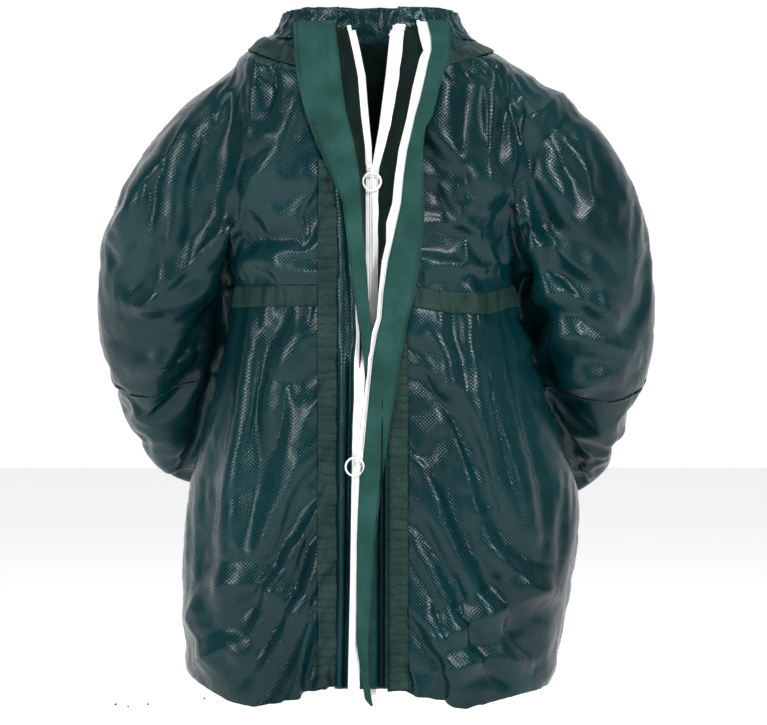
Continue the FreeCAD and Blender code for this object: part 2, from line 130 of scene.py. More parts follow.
OUTER_HALF_LEFT = [
    (0.022, 0.0468, 0.0572), (0.006, 0.0498, 0.0616), (-0.008, 0.0538, 0.0620), (-0.016, 0.0498, 0.0595),
    (-0.046, 0.0425, 0.0535), (-0.078, 0.0365, 0.0445), (-0.112, 0.0280, 0.0370), (-0.140, 0.0240, 0.0330),
    (-0.167, 0.0214, 0.0306), (-0.187, 0.0153, 0.0260), (-0.207, 0.0153, 0.0215), (-0.227, 0.0107, 0.0168),
    (-0.260, 0.0075, 0.0120), (-0.286, 0.0054, 0.0100), (-0.300, 0.0008, 0.0060), (-0.326, -0.0032, 0.0012),
    (-0.348, -0.0052, -0.0010), (-0.394, -0.0105, -0.0055), (-0.428, -0.0140, -0.0085),
    (-0.549, -0.0170, -0.0115), (-0.669, -0.0200, -0.0125),
]
# (level, sewn edge, free edge) of each storm flap
INNER_FLAP = [
    (0.0235, -0.0385, -0.0817), (-0.0125, -0.0340, -0.0803), (-0.0395, -0.0310, -0.0770),
    (-0.070, -0.0270, -0.0696), (-0.102, -0.0187, -0.0580), (-0.139, -0.0125, -0.0410),
    (-0.164, -0.0110, -0.0307), (-0.193, -0.0094, -0.0270), (-0.233, -0.0052, -0.0222),
    (-0.273, -0.0030, -0.0166), (-0.300, -0.0005, -0.0128), (-0.330, -0.0022, -0.0078),
    (-0.348, -0.0046, -0.0052),
]
OUTER_FLAP = [
    (0.0235, 0.0570, 0.0812), (0.006, 0.0613, 0.0812), (-0.008, 0.0618, 0.0812), (-0.020, 0.0585, 0.0806),
    (-0.035, 0.0555, 0.0725), (-0.060, 0.0495, 0.0668), (-0.077, 0.0445, 0.0622), (-0.088, 0.0425, 0.0553),
    (-0.112, 0.0366, 0.0525), (-0.140, 0.0327, 0.0532), (-0.167, 0.0302, 0.0540), (-0.187, 0.0258, 0.0538),
    (-0.207, 0.0213, 0.0520), (-0.227, 0.0166, 0.0490), (-0.260, 0.0117, 0.0440), (-0.286, 0.0098, 0.0376),
    (-0.300, 0.0058, 0.0350), (-0.326, 0.0010, 0.0295), (-0.348, -0.0012, 0.0268), (-0.394, -0.0057, 0.0190),
    (-0.428, -0.0087, 0.0140), (-0.449, -0.0122, 0.0110), (-0.488, -0.0145, 0.0062),
    (-0.515, -0.0155, 0.0038), (-0.562, -0.0156, 0.0003), (-0.597, -0.0156, -0.0026),
    (-0.620, -0.0154, -0.0038), (-0.637, -0.0128, -0.0036), (-0.654, -0.0106, -0.0030),
    (-0.674, -0.0070, 0.0000), (-0.681, -0.0012, 0.0014),
]
# how far in front of the body's plane each layer lies
INNER_TAPE_FRONT = -0.0007
OUTER_TAPE_FRONT = 0.0125
INNER_SEAM_FRONT = 0.0138
OUTER_SEAM_FRONT = 0.0150

# (across, up) along a crest, its height and its half width
FOLDS = [
    ([(-0.116, 0.000), (-0.120, -0.050), (-0.122, -0.090), (-0.143, -0.150)], 0.011, 0.016),
    ([(-0.094, -0.040), (-0.100, -0.085), (-0.118, -0.130)], 0.004, 0.014),
    ([(-0.141, -0.012), (-0.106, -0.025), (-0.082, -0.029)], 0.004, 0.009),
    ([(-0.176, -0.052), (-0.200, -0.100), (-0.236, -0.150), (-0.252, -0.200)], 0.009, 0.017),
    ([(-0.232, -0.128), (-0.252, -0.172), (-0.285, -0.205)], 0.007, 0.012),
    ([(-0.160, -0.195), (-0.190, -0.225), (-0.230, -0.262), (-0.262, -0.285)], 0.007, 0.012),
    ([(-0.170, -0.250), (-0.215, -0.272), (-0.268, -0.262)], 0.006, 0.010),
    ([(-0.205, -0.150), (-0.216, -0.215), (-0.232, -0.262)], 0.006, 0.012),
    ([(-0.178, -0.310), (-0.215, -0.330), (-0.252, -0.335)], 0.006, 0.011),
    ([(0.127, -0.020), (0.121, -0.075), (0.118, -0.120), (0.122, -0.165)], 0.009, 0.013),
    ([(0.144, -0.115), (0.165, -0.075), (0.205, -0.045)], 0.009, 0.014),
    ([(0.061, -0.031), (0.098, -0.010), (0.136, -0.021)], 0.004, 0.008),
    ([(0.150, -0.120), (0.196, -0.150), (0.230, -0.215)], 0.006, 0.014),
    ([(0.150, -0.215), (0.190, -0.205), (0.235, -0.240), (0.250, -0.285)], 0.007, 0.012),
    ([(0.158, -0.262), (0.200, -0.255), (0.262, -0.285)], 0.007, 0.011),
    ([(0.165, -0.310), (0.215, -0.300), (0.275, -0.320)], 0.007, 0.012),
    ([(0.180, -0.352), (0.225, -0.352), (0.262, -0.340)], 0.006, 0.011),
    ([(0.060, -0.290), (0.078, -0.330), (0.082, -0.352), (0.064, -0.362)], 0.005, 0.010),
    ([(0.085, -0.235), (0.104, -0.262), (0.110, -0.300)], 0.005, 0.010),
    ([(0.112, -0.300), (0.126, -0.380), (0.150, -0.455), (0.164, -0.500)], 0.007, 0.016),
    ([(0.120, -0.520), (0.160, -0.560), (0.196, -0.575)], 0.006, 0.013),
    ([(0.050, -0.622), (0.100, -0.600), (0.150, -0.575), (0.190, -0.560)], 0.006, 0.014),
    ([(0.060, -0.650), (0.110, -0.636), (0.160, -0.640)], 0.004, 0.010),
    ([(-0.118, -0.300), (-0.126, -0.380), (-0.150, -0.470), (-0.158, -0.560)], 0.006, 0.016),
    ([(-0.090, -0.300), (-0.094, -0.370), (-0.112, -0.440)], 0.005, 0.012),
    ([(-0.178, -0.600), (-0.150, -0.560), (-0.110, -0.560), (-0.080, -0.590)], 0.006, 0.013),
    ([(-0.190, -0.650), (-0.150, -0.625), (-0.120, -0.640)], 0.005, 0.011),
    ([(-0.178, -0.560), (-0.188, -0.600), (-0.160, -0.655)], 0.005, 0.012),
]


def lerp(a, b, share):
    return a + (b - a) * share


def smooth(low, high, value):
    """0 below low, 1 above high, and an easy step between them."""
    share = min(max((value - low) / (high - low), 0.0), 1.0)
    return share * share * (3 - 2 * share)


def spline(rows, share):
    """A smooth value through evenly numbered rows, at a share from 0 to 1 of the way."""
    place = min(max(share, 0.0), 1.0) * (len(rows) - 1)
    i = min(int(place), len(rows) - 2)
    f = place - i
    before, start = rows[max(i - 1, 0)], rows[i]
    end, after = rows[i + 1], rows[min(i + 2, len(rows) - 1)]
    blend = []
    for a, b, c, d in zip(before, start, end, after):
        blend.append(0.5 * (2 * b + (c - a) * f + (2 * a - 5 * b + 4 * c - d) * f * f
                            + (3 * b - a - 3 * c + d) * f ** 3))
    return blend


def at_level(rows, level):
    """The row of a table, ordered by falling level, at any level."""
    for upper, lower in zip(rows, rows[1:]):
        if level >= lower[0]:
            share = (level - upper[0]) / (lower[0] - upper[0])
            i = rows.index(upper)
            return spline(rows, (i + share) / (len(rows) - 1))
    return list(rows[-1])


def front_y(level):
    """The straight, slightly leaning line that the front closure lies on."""
    return FRONT_REACH + FRONT_LEAN * level


# ---- mesh helpers ----

def new_mesh(name, verts, faces):
    mesh = bpy.data.meshes.new(name)
    mesh.from_pydata([tuple(v) for v in verts], [], faces)
    mesh.update()
    return mesh


def new_object(name, mesh):
    obj = bpy.data.objects.new(name, mesh)
    bpy.context.scene.collection.objects.link(obj)
    return obj


def grid_faces(rows, columns, closed=False):
    """Quads of a grid whose points are numbered row by row."""
    faces = []
    for r in range(rows - 1):
        for c in range(columns if closed else columns - 1):
            d = (c + 1) % columns
            faces.append((r * columns + c, r * columns + d, (r + 1) * columns + d, (r + 1) * columns + c))
    return faces


def capped_faces(rows, around):
    """Quads of a tube, and a cap at each end."""
    caps = [tuple(reversed(range(around))), tuple(range((rows - 1) * around, rows * around))]
    return grid_faces(rows, around, closed=True) + caps


def apply_modifiers(obj):
    bpy.context.view_layer.update()
    graph = bpy.context.evaluated_depsgraph_get()
    mesh = bpy.data.meshes.new_from_object(obj.evaluated_get(graph))
    obj.modifiers.clear()
    obj.data = mesh
    return obj


def shade_smooth(mesh):
    mesh.polygons.foreach_set("use_smooth", [True] * len(mesh.polygons))
    mesh.update()


# ---- the closed form: torso and both sleeves ----

def torso_form(inset):
    """A closed oval column; the inset shrinks it towards a mannequin."""
    verts, steps, around = [], 76, 96
    for k in range(steps):
        level = lerp(TORSO[0][0], TORSO[-1][0], k / (steps - 1))
        _, right, left, back = at_level(TORSO, level)
        front = front_y(level) + inset
        back -= inset
        mid_x, mid_y = (right + left) / 2, (front + back) / 2
        half_x, half_y = (left - right) / 2 - inset, (back - front) / 2
        for j in range(around):
            turn = 2 * math.pi * j / around
            c, s = math.cos(turn), math.sin(turn)
            x = mid_x + half_x * math.copysign(abs(c) ** OVAL_POWER, c)
            y = mid_y + half_y * math.copysign(abs(s) ** OVAL_POWER, s)
            verts.append((x, y, level))
    return verts, capped_faces(steps, around)


def sleeve_form(rows, inset):
    """A closed tube along the arm's rings."""
    verts, steps, around = [], 60, 40
    for k in range(steps):
        x, y, z, radius = spline(rows, k / (steps - 1))
        ahead = Vector(spline(rows, (k + 0.5) / (steps - 1))[:3])
        behind = Vector(spline(rows, (k - 0.5) / (steps - 1))[:3])
        along = (ahead - behind).normalized()
        side = along.cross(Vector((0, 1, 0))).normalized()
        other = along.cross(side)
        for j in range(around):
            turn = 2 * math.pi * j / around
            reach = (side * math.cos(turn) + other * math.sin(turn)) * (radius - inset)
            verts.append(Vector((x, y, z)) + reach)
    return verts, capped_faces(steps, around)


def joined_form(name, inset, voxel):
    """Torso and sleeves melted into one even quad mesh."""
    verts, faces = [], []
    for part_verts, part_faces in (torso_form(inset), sleeve_form(SLEEVE_RIGHT, inset),
                                   sleeve_form(SLEEVE_LEFT, inset)):
        base = len(verts)
        verts += part_verts
        faces += [tuple(i + base for i in face) for face in part_faces]
    obj = new_object(name, new_mesh(name, verts, faces))
    melt = obj.modifiers.new("melt", "REMESH")
    melt.mode = "VOXEL"
    melt.voxel_size = voxel
    return apply_modifiers(obj)


def cut_away(bm, point, normal, keep_side=True, where=None):
    """Cut by a plane, and delete what lies on its normal's side."""
    faces = [f for f in bm.faces if where is None or where(f.calc_center_median())]
    edges = list({e for f in faces for e in f.edges})
    verts = list({v for f in faces for v in f.verts})
    bmesh.ops.bisect_plane(bm, geom=faces + edges + verts, plane_co=point, plane_no=normal,
                           dist=1e-5, clear_outer=False, clear_inner=False)
    if keep_side:
        point, normal = Vector(point), Vector(normal)
        gone = [f for f in bm.faces
                if (where is None or where(f.calc_center_median()))
                and (f.calc_center_median() - point).dot(normal) > 0]
        bmesh.ops.delete(bm, geom=gone, context="FACES")


def open_form(obj):
    """Open the hem, the neck and both cuffs."""
    bm = bmesh.new()
    bm.from_mesh(obj.data)
    cut_away(bm, (0, 0, HEM_LEVEL - 0.004), (0, 0, -1))
    cut_away(bm, (0, 0, NECK_TOP), (0, 0, 1), where=lambda p: p.z > -0.05)
    for rows in (SLEEVE_RIGHT, SLEEVE_LEFT):
        wrist = Vector(rows[-2][:3])
        along = Vector(rows[-1][:3]) - Vector(rows[-3][:3])
        cut_away(bm, wrist, along.normalized(),
                 where=lambda p: p.y > 0.155 and p.z < -0.38 and p.x * wrist.x > 0)
    bm.to_mesh(obj.data)
    bm.free()


def pin_weights(obj):
    """Hold the closure, the neck, the waist channel and the cuffs where they are."""
    group = obj.vertex_groups.new(name="pin")
    wrists = [Vector(rows[-2][:3]) for rows in (SLEEVE_RIGHT, SLEEVE_LEFT)]
    for v in obj.data.vertices:
        p = v.co
        closure = 1 - smooth(0.022, 0.040, abs(p.x)) if p.y < front_y(p.z) + 0.02 else 0.0
        neck = smooth(-0.012, 0.006, p.z) if abs(p.x) < 0.14 else 0.0
        waist = 0.9 * (1 - smooth(0.006, 0.014, abs(p.z - WAIST_LEVEL)))
        waist *= 1.0 if abs(p.x) < 0.165 and p.y < 0.1 else 0.0
        cuff = max(1 - smooth(0.036, 0.048, (p - w).length) for w in wrists)
        weight = max(closure, neck, waist, cuff)
        if weight > 0.001:
            group.add([v.index], min(weight, 1.0), "REPLACE")
    return group.name


def sleeve_weights(obj):
    """Where the extra length of the sleeves lies."""
    group = obj.vertex_groups.new(name="sleeve")
    for v in obj.data.vertices:
        p = v.co
        weight = smooth(0.130, 0.170, abs(p.x)) * smooth(-0.440, -0.380, p.z) * (1 - smooth(0.10, 0.16, p.y))
        if p.z < -0.30:
            weight *= smooth(0.0, 0.03, p.y)
        if weight > 0.001:
            group.add([v.index], weight, "REPLACE")
    return group.name


def drape(obj, body, frames):
    """Let the stiff laminate, cut a little large, buckle and hang over the unseen body."""
    collide = body.modifiers.new("collide", "COLLISION")
    body.collision.thickness_outer = 0.003
    body.collision.cloth_friction = 30
    cloth = obj.modifiers.new("cloth", "CLOTH")
    settings = cloth.settings
    settings.quality = 6
    settings.mass = 0.25
    settings.tension_stiffness = 40
    settings.compression_stiffness = 40
    settings.shear_stiffness = 20
    settings.bending_stiffness = 8
    settings.tension_damping = 10
    settings.compression_damping = 10
    settings.shear_damping = 10
    settings.air_damping = 2
    settings.vertex_group_mass = pin_weights(obj)
    settings.shrink_min = -0.085
    settings.vertex_group_shrink = sleeve_weights(obj)
    settings.shrink_max = -0.15
    cloth.collision_settings.use_collision = True
    cloth.collision_settings.distance_min = 0.003
    cloth.point_cache.frame_end = frames
    scene = bpy.context.scene
    scene.frame_start, scene.frame_end = 1, frames
    for number in range(1, frames + 1):
        scene.frame_set(number)
    apply_modifiers(obj)
    body.modifiers.remove(collide)
    scene.frame_set(1)


# ---- after the drape ----

def vectors_of(items, key):
    """One vector for each item of a mesh, as rows."""
    found = numpy.empty(len(items) * 3)
    items.foreach_get(key, found)
    return found.reshape(-1, 3)


def points_of(mesh):
    return vectors_of(mesh.vertices, "co")


def normals_of(mesh):
    return vectors_of(mesh.vertex_normals, "vector")


def cuts_of(mesh):
    return vectors_of(mesh.attributes["cut"].data, "vector")


def remember_cut(mesh):
    """Keep where every point of the cloth was cut, so that its pieces are known after the drape."""
    places = points_of(mesh).reshape(-1)
    mesh.attributes.new("cut", "FLOAT_VECTOR", "POINT").data.foreach_set("vector", places)


def put_points(mesh, places):
    mesh.vertices.foreach_set("co", places.reshape(-1))
    mesh.update()


HEM_CURVE = [
    (-0.215, -0.640), (-0.190, -0.664), (-0.150, -0.682), (-0.122, -0.686), (-0.080, -0.675),
    (-0.032, -0.661), (0.0, -0.668), (0.030, -0.667), (0.070, -0.680), (0.098, -0.685),
    (0.150, -0.676), (0.185, -0.671), (0.215, -0.640),
]


def along_curve(rows, value):
    """The second column of a two-column table at a value of the first, rising or falling."""
    firsts = [row[0] for row in rows]
    seconds = [row[1] for row in rows]
    if firsts[0] > firsts[-1]:
        firsts.reverse()
        seconds.reverse()
    return float(numpy.interp(value, firsts, seconds))


def column(rows, number):
    """One column of a closure table against its level."""
    return [(row[0], row[number]) for row in rows]


def fit_hem(mesh):
    """Draw the hem up to its own curve, whatever the drape let it sag to."""
    places, cuts = points_of(mesh), cuts_of(mesh)
    skirt_top = -0.42
    torso = cuts[:, 2] < skirt_top
    torso &= (numpy.abs(cuts[:, 0]) < 0.24) & ((cuts[:, 1] < 0.10) | (cuts[:, 2] < -0.50))
    bins = 90
    turns = numpy.arctan2(places[:, 1], places[:, 0])
    index = ((turns + math.pi) / (2 * math.pi) * bins).astype(int) % bins
    lowest = numpy.full(bins, HEM_LEVEL)
    for b in range(bins):
        here = torso & (index == b)
        if here.any():
            lowest[b] = places[here, 2].min()
    for _ in range(2):
        lowest = (numpy.roll(lowest, 1) + 2 * lowest + numpy.roll(lowest, -1)) / 4
    target = numpy.interp(places[:, 0], [row[0] for row in HEM_CURVE], [row[1] for row in HEM_CURVE])
    skirt = torso & (places[:, 2] < skirt_top)
    share = (target - skirt_top) / (lowest[index] - skirt_top)
    places[skirt, 2] = skirt_top + (places[skirt, 2] - skirt_top) * share[skirt]
    put_points(mesh, places)


def add_folds(mesh):
    """Raise the long crests that the stiff laminate keeps, on the front of the garment."""
    places, normals = points_of(mesh), normals_of(mesh)
    front = (normals[:, 1] < 0.15) & (places[:, 1] < 0.06)
    flat = places[:, [0, 2]]
    lift = numpy.zeros(len(places))
    for crest, height, width in FOLDS:
        nearest = numpy.full(len(places), 1.0)
        along = numpy.zeros(len(places))
        total = len(crest) - 1
        for k, (a, b) in enumerate(zip(crest, crest[1:])):
            a, b = numpy.array(a), numpy.array(b)
            run = b - a
            share = numpy.clip(((flat - a) @ run) / (run @ run), 0, 1)
            away = numpy.linalg.norm(flat - (a + share[:, None] * run), axis=1)
            closer = away < nearest
            nearest[closer] = away[closer]
            along[closer] = (k + share[closer]) / total
        taper = numpy.sin(numpy.pi * numpy.clip(along * 0.84 + 0.08, 0, 1)) ** 0.7
        fall = numpy.clip(1 - nearest / (2.2 * width), 0, 1)
        valley = numpy.exp(-((nearest - 1.7 * width) / (0.6 * width)) ** 2)
        lift += FOLD_LIFT * height * taper * (fall ** 1.6 - 0.22 * valley)
    closure = numpy.clip((numpy.abs(places[:, 0]) - 0.040) / 0.025, 0, 1)
    places[front] += normals[front] * (lift * closure)[front, None]
    put_points(mesh, places)


def crumple(mesh, depth, size, seed):
    """Small sharp-edged dents, as in paper, that fade out beside the closure."""
    places, normals = points_of(mesh), normals_of(mesh)
    shift = Vector((seed, seed * 0.7, -seed))
    for i, (p, n) in enumerate(zip(places, normals)):
        spot = Vector(p) / size + shift
        bend = Vector((noise.noise(spot * 0.6), noise.noise(spot * 0.6 + shift), 0)) * 0.8
        dent = abs(noise.noise(spot + bend)) - 0.22
        calm = smooth(0.036, 0.060, abs(p[0])) if p[1] < -0.07 else 1.0
        places[i] = p + n * (depth * dent * calm)
    put_points(mesh, places)


def gather_cuffs(mesh):
    """Draw each sleeve's end in on its elastic: short folds run round the wrist and die out up the arm."""
    places, normals, cuts = points_of(mesh), normals_of(mesh), cuts_of(mesh)
    for rows in (SLEEVE_RIGHT, SLEEVE_LEFT):
        wrist = numpy.array(rows[-2][:3])
        along = numpy.array(rows[-1][:3]) - numpy.array(rows[-3][:3])
        along /= numpy.linalg.norm(along)
        side = numpy.cross(along, (0, 1, 0))
        side /= numpy.linalg.norm(side)
        other = numpy.cross(along, side)
        away = cuts - wrist
        up_arm = -(away @ along)
        turn = numpy.arctan2(away @ other, away @ side)
        near = (numpy.linalg.norm(away, axis=1) < 0.085) & (cuts[:, 0] * wrist[0] > 0) & (cuts[:, 1] > 0.12)
        fade = numpy.clip(1 - up_arm / 0.060, 0, 1) * near
        ridge = numpy.sin(turn * 15 + 1.6 * numpy.sin(turn * 4)) + 0.5 * numpy.sin(turn * 26 + 2.0)
        drawn = 0.0060 * numpy.exp(-((up_arm - 0.012) / 0.008) ** 2) * near
        places = places + normals * (0.0022 * ridge * fade - drawn)[:, None]
    put_points(mesh, places)


def stay_inside(mesh, margin):
    """Keep the cloth within a margin of the frame's box."""
    places = points_of(mesh)
    low = numpy.array([CAD_BOX[0][k] - margin[k] for k in range(3)])
    high = numpy.array([CAD_BOX[1][k] + margin[k] for k in range(3)])
    put_points(mesh, numpy.clip(places, low, high))


ELBOW_SHARE = 0.49
CUFF_SHARE = 0.80
ARM_SAMPLES = 48


def piece_names(mesh):
    """The piece that every face of the cut cloth belongs to."""
    cuts = cuts_of(mesh)
    counts = numpy.array([p.loop_total for p in mesh.polygons])
    corners = numpy.empty(len(mesh.loops), dtype=int)
    mesh.loops.foreach_get("vertex_index", corners)
    starts = numpy.concatenate(([0], numpy.cumsum(counts)[:-1]))
    centres = numpy.add.reduceat(cuts[corners], starts) / counts[:, None]
    x, y, z = numpy.abs(centres[:, 0]), centres[:, 1], centres[:, 2]
    names = numpy.where(y > SIDE_LINE, "back_panel", "front_panel")
    low = z < HEM_LEVEL + HEM_DEPTH
    names = numpy.where(low, numpy.where(y > SIDE_LINE, "hem_back", "hem_front"), names)
    ease = numpy.clip((z + 0.12) / 0.12, 0, 1)
    for rows, here in ((SLEEVE_RIGHT, centres[:, 0] < 0), (SLEEVE_LEFT, centres[:, 0] >= 0)):
        samples = numpy.array([spline(rows, k / ARM_SAMPLES) for k in range(ARM_SAMPLES + 1)])
        best = numpy.full(len(centres), 9.0)
        share = numpy.zeros(len(centres))
        for k, sample in enumerate(samples):
            away = numpy.linalg.norm(centres - sample[:3], axis=1) / sample[3]
            closer = away < best
            best[closer] = away[closer]
            share[closer] = k / ARM_SAMPLES
        outside = numpy.where(z > -0.165, x > 0.152 - 0.020 * ease,
                              numpy.where(z > -0.30, (best < 1.10) & (x > 0.150), best < 1.16))
        arm = here & outside
        names = numpy.where(arm, numpy.where(share > CUFF_SHARE, "cuff",
                            numpy.where(share < ELBOW_SHARE, "sleeve_upper", "sleeve_lower")), names)
    ends = numpy.where(centres[:, 0] < 0, "_right", "_left")
    whole = (names == "back_panel") | (names == "hem_back")
    return [str(n) if w else str(n) + str(e) for n, e, w in zip(names, ends, whole)]


def cut_front(obj):
    """Cut the closure's opening out of the front, between two clean lines."""
    bm = bmesh.new()
    bm.from_mesh(obj.data)

    def near_front(p):
        return p.y < -0.03 and abs(p.x) < 0.100

    right_edge = (Vector((-0.0345, 0, 0)), Vector((1, 0, 0)))
    low_left = (Vector((0.0160, 0, 0)), Vector((-1, 0, 0)))
    slope = Vector((0.0475, 0, 0.270))
    high_left = (Vector((0.0160, 0, -0.270)), Vector((-slope.z, 0, slope.x)).normalized())
    for point, normal in (right_edge, low_left, high_left):
        cut_away(bm, point, normal, keep_side=False, where=near_front)
    gone = []
    for face in bm.faces:
        p = face.calc_center_median()
        if not near_front(p) or p.x < right_edge[0].x:
            continue
        inside = p.x < 0.0160 if p.z < -0.270 else (p - high_left[0]).dot(high_left[1]) > 0
        if inside:
            gone.append(face)
    bmesh.ops.delete(bm, geom=gone, context="FACES")
    bm.to_mesh(obj.data)
    bm.free()


def divided(mesh, names, prefix, materials, thickness):
    """Split a sheet into one closed piece for each name, keeping the shading across their joins."""
    places, normals = points_of(mesh), normals_of(mesh)
    groups = {}
    for polygon, name in zip(mesh.polygons, names):
        groups.setdefault(name, []).append(polygon)
    made = {}
    for name, polygons in groups.items():
        numbers = {}
        faces = [[numbers.setdefault(i, len(numbers)) for i in polygon.vertices] for polygon in polygons]
        count, used = len(faces), list(numbers)
        inner, open_edges = len(used), set()
        for face in faces:
            for one, two in zip(face, face[1:] + face[:1]):
                if (two, one) in open_edges:
                    open_edges.discard((two, one))
                else:
                    open_edges.add((one, two))
        faces += [[k + inner for k in reversed(face)] for face in faces]
        faces += [(two, one, one + inner, two + inner) for one, two in sorted(open_edges)]
        outside = [Vector(places[i]) for i in used]
        turned = [Vector(normals[i]) for i in used]
        piece = new_mesh(prefix + name, outside + [p - n * thickness for p, n in zip(outside, turned)], faces)
        for material in materials:
            piece.materials.append(material)
        piece.polygons.foreach_set("material_index", [int(count <= k < 2 * count) for k in range(len(faces))])
        shade_smooth(piece)
        piece.normals_split_custom_set_from_vertices([tuple(n) for n in turned] + [tuple(-n) for n in turned])
        made[name] = new_object(prefix + name, piece)
    return made


# ---- strips laid on the shell ----

def face_tree(mesh, names, starts):
    """A search tree over the faces of the pieces whose names start so."""
    faces = [tuple(p.vertices) for p, name in zip(mesh.polygons, names) if name.startswith(starts)]
    return BVHTree.FromPolygons([tuple(v) for v in points_of(mesh)], faces)


def puffs(seed, start, end, low, high):
    """Levels of the gathers along a strip, unevenly spaced."""
    rng = random.Random(seed)
    marks = [start]
    while marks[-1] < end:
        marks.append(marks[-1] + rng.uniform(low, high))
    return marks


def puff(marks, value):
    """0 in a gather, 1 on the swell between two."""
    k = 0
    while k < len(marks) - 2 and marks[k + 1] < value:
        k += 1
    share = (value - marks[k]) / (marks[k + 1] - marks[k])
    return 1 - abs(2 * min(max(share, 0.0), 1.0) - 1) ** 5


def solid_strip(name, rows, thickness, material, shades=None):
    """An object from a grid of points, thickened, with an optional shade for each point."""
    columns = len(rows[0])
    mesh = new_mesh(name, [p for row in rows for p in row], grid_faces(len(rows), columns))
    if shades is not None:
        flat = [value for row in shades for value in row]
        mesh.attributes.new("shade", "FLOAT", "POINT").data.foreach_set("value", flat)
    mesh.materials.append(material)
    obj = new_object(name, mesh)
    shell = obj.modifiers.new("shell", "SOLIDIFY")
    shell.thickness = thickness
    shell.offset = -1
    apply_modifiers(obj)
    shade_smooth(obj.data)
    return obj


def laid_tape(name, tree, rays, lift, swell, marks, material, seed, reach=0.43):
    """A tape stuck on the shell: each row of rays is one crossing of the tape."""
    rows, shades = [], []
    for r, (along, row) in enumerate(rays):
        line, dark = [], []
        for c, (origin, aim) in enumerate(row):
            hit, normal, _, _ = tree.ray_cast(origin, aim, reach)
            if hit is None:
                line.append(None)
                dark.append(0.0)
                continue
            if normal.dot(aim) > 0:
                normal = -normal
            slant = 0.0022 * noise.noise(Vector((c * 0.35 + seed, r * 0.03, seed)))
            high = puff(marks, along + slant)
            edge = min(c, len(row) - 1 - c)
            line.append(hit + normal * (lift + swell * high * (0.55 + 0.45 * min(edge, 3) / 3)))
            # Darker in each gather: painted shade in the tape's creases.
            dark.append((1 - high) ** 2)
        near = [c for c, p in enumerate(line) if p is not None]
        if len(near) < len(row) * 0.6:
            continue
        line = [line[min(near, key=lambda k: abs(k - c))] for c in range(len(line))]
        rows.append(line)
        shades.append(dark)
    return solid_strip(name, rows, 0.0005, material, shades)


def ray_rows(count, columns, length, ray):
    """Rows of rays: ray(r, c) gives a start and an aim at those shares of the way along and across."""
    return [(length * r / count, [ray(r / count, c / (columns - 1)) for c in range(columns)])
            for r in range(count + 1)]


def front_rays(start, end, left, right, step, columns):
    """Straight back, at points down the front."""
    length = abs(end - start)
    return ray_rows(int(length / step), columns, length, lambda r, c: (
        Vector((lerp(left, right, c), RAY_START, lerp(start, end, r))), Vector((0, 1, 0))))


def round_rays(turn_from, turn_to, middle_level, width, step, columns):
    """Inwards, at points round the body, as a belt."""
    length = abs(turn_to - turn_from) * BELT_RADIUS

    def ray(r, c):
        turn = lerp(turn_from, turn_to, r)
        out = Vector((math.cos(turn), math.sin(turn), 0))
        return out * 0.45 + Vector((0, BELT_DEPTH, middle_level(turn) + width * (c - 0.5))), -out

    return ray_rows(max(int(length / step), 8), columns, length, ray)


def neck_rays(turn_from, turn_to, width, step, columns):
    """Towards a point below the neck, at points round the collar's foot."""
    middle, reach = Vector((0, -0.020, -0.060)), 0.105
    length = (turn_to - turn_from) * reach

    def ray(r, c):
        turn = lerp(turn_from, turn_to, r)
        back = math.sin(turn)
        rise = math.radians(30 + (7 * back if back > 0 else 9 * back)) + width / reach * (c - 0.5)
        out = Vector((math.cos(turn) * math.cos(rise), math.sin(turn) * math.cos(rise), math.sin(rise)))
        return middle + out * 0.35, -out

    return ray_rows(int(length / step), columns, length, ray)


# ---- the closure ----

def front_point(x, level, ahead):
    """A point that far in front of the closure's plane."""
    return Vector((x, front_y(level) - ahead, level + FRONT_LEAN * ahead))


def levels_between(top, bottom, step):
    count = max(int((top - bottom) / step), 2)
    return [lerp(top, bottom, k / count) for k in range(count + 1)]


def profile_strip(name, top, bottom, near, far, profile, material, step=0.0025, thickness=0.0006,
                  wander=0.0, seed=0.0, drop=None, scale=None):
    """A strip whose crossing is a profile of (share from near to far, height, shade)."""
    rows, shades = [], []
    for level in levels_between(top, bottom, step):
        a, b = near(level), far(level)
        row, dark = [], []
        lower = drop(level) if drop is not None else 0.0
        part = scale(level) if scale is not None else 1.0
        for share, ahead, shade in profile:
            ripple = wander * noise.noise(Vector((share * 2.2 + seed, level * 60, seed)))
            row.append(front_point(lerp(a, b, share), level, ahead * part + lower + ripple))
            dark.append(shade)
        rows.append(row)
        shades.append(dark)
    return solid_strip(name, rows, thickness, material, shades)


def sunk(level):
    """How far the half of the outer zip under the inner flap lies below the other half."""
    return -0.0088 * (1 - smooth(0.306, 0.345, -level))


def zip_half(name, table, bottom, ahead, material, drop=None):
    """Half of a white zip: a tape with a raised, stitched rib along its coil edge."""
    # The third value of each point darkens the tape: painted shade at the coil edge and the far edge where
    # the tape dips, and grey stitching in the two grooves.
    profile = [
        (0.0, ahead - 0.0004, 0.9), (0.04, ahead + 0.0007, 0.1), (0.20, ahead + 0.0011, 0.0),
        (0.38, ahead + 0.0009, 0.0), (0.43, ahead + 0.0001, 0.9), (0.48, ahead + 0.0006, 0.0),
        (0.70, ahead + 0.0005, 0.0), (0.74, ahead + 0.0003, 0.3), (0.78, ahead + 0.0005, 0.0),
        (0.96, ahead + 0.0005, 0.0), (1.0, ahead - 0.0002, 0.2),
    ]
    near, far = column(table, 1), column(table, 2)
    return profile_strip(name, table[0][0], bottom, lambda z: along_curve(near, z),
                         lambda z: along_curve(far, z), profile, material, step=0.002, thickness=0.0007,
                         drop=drop)


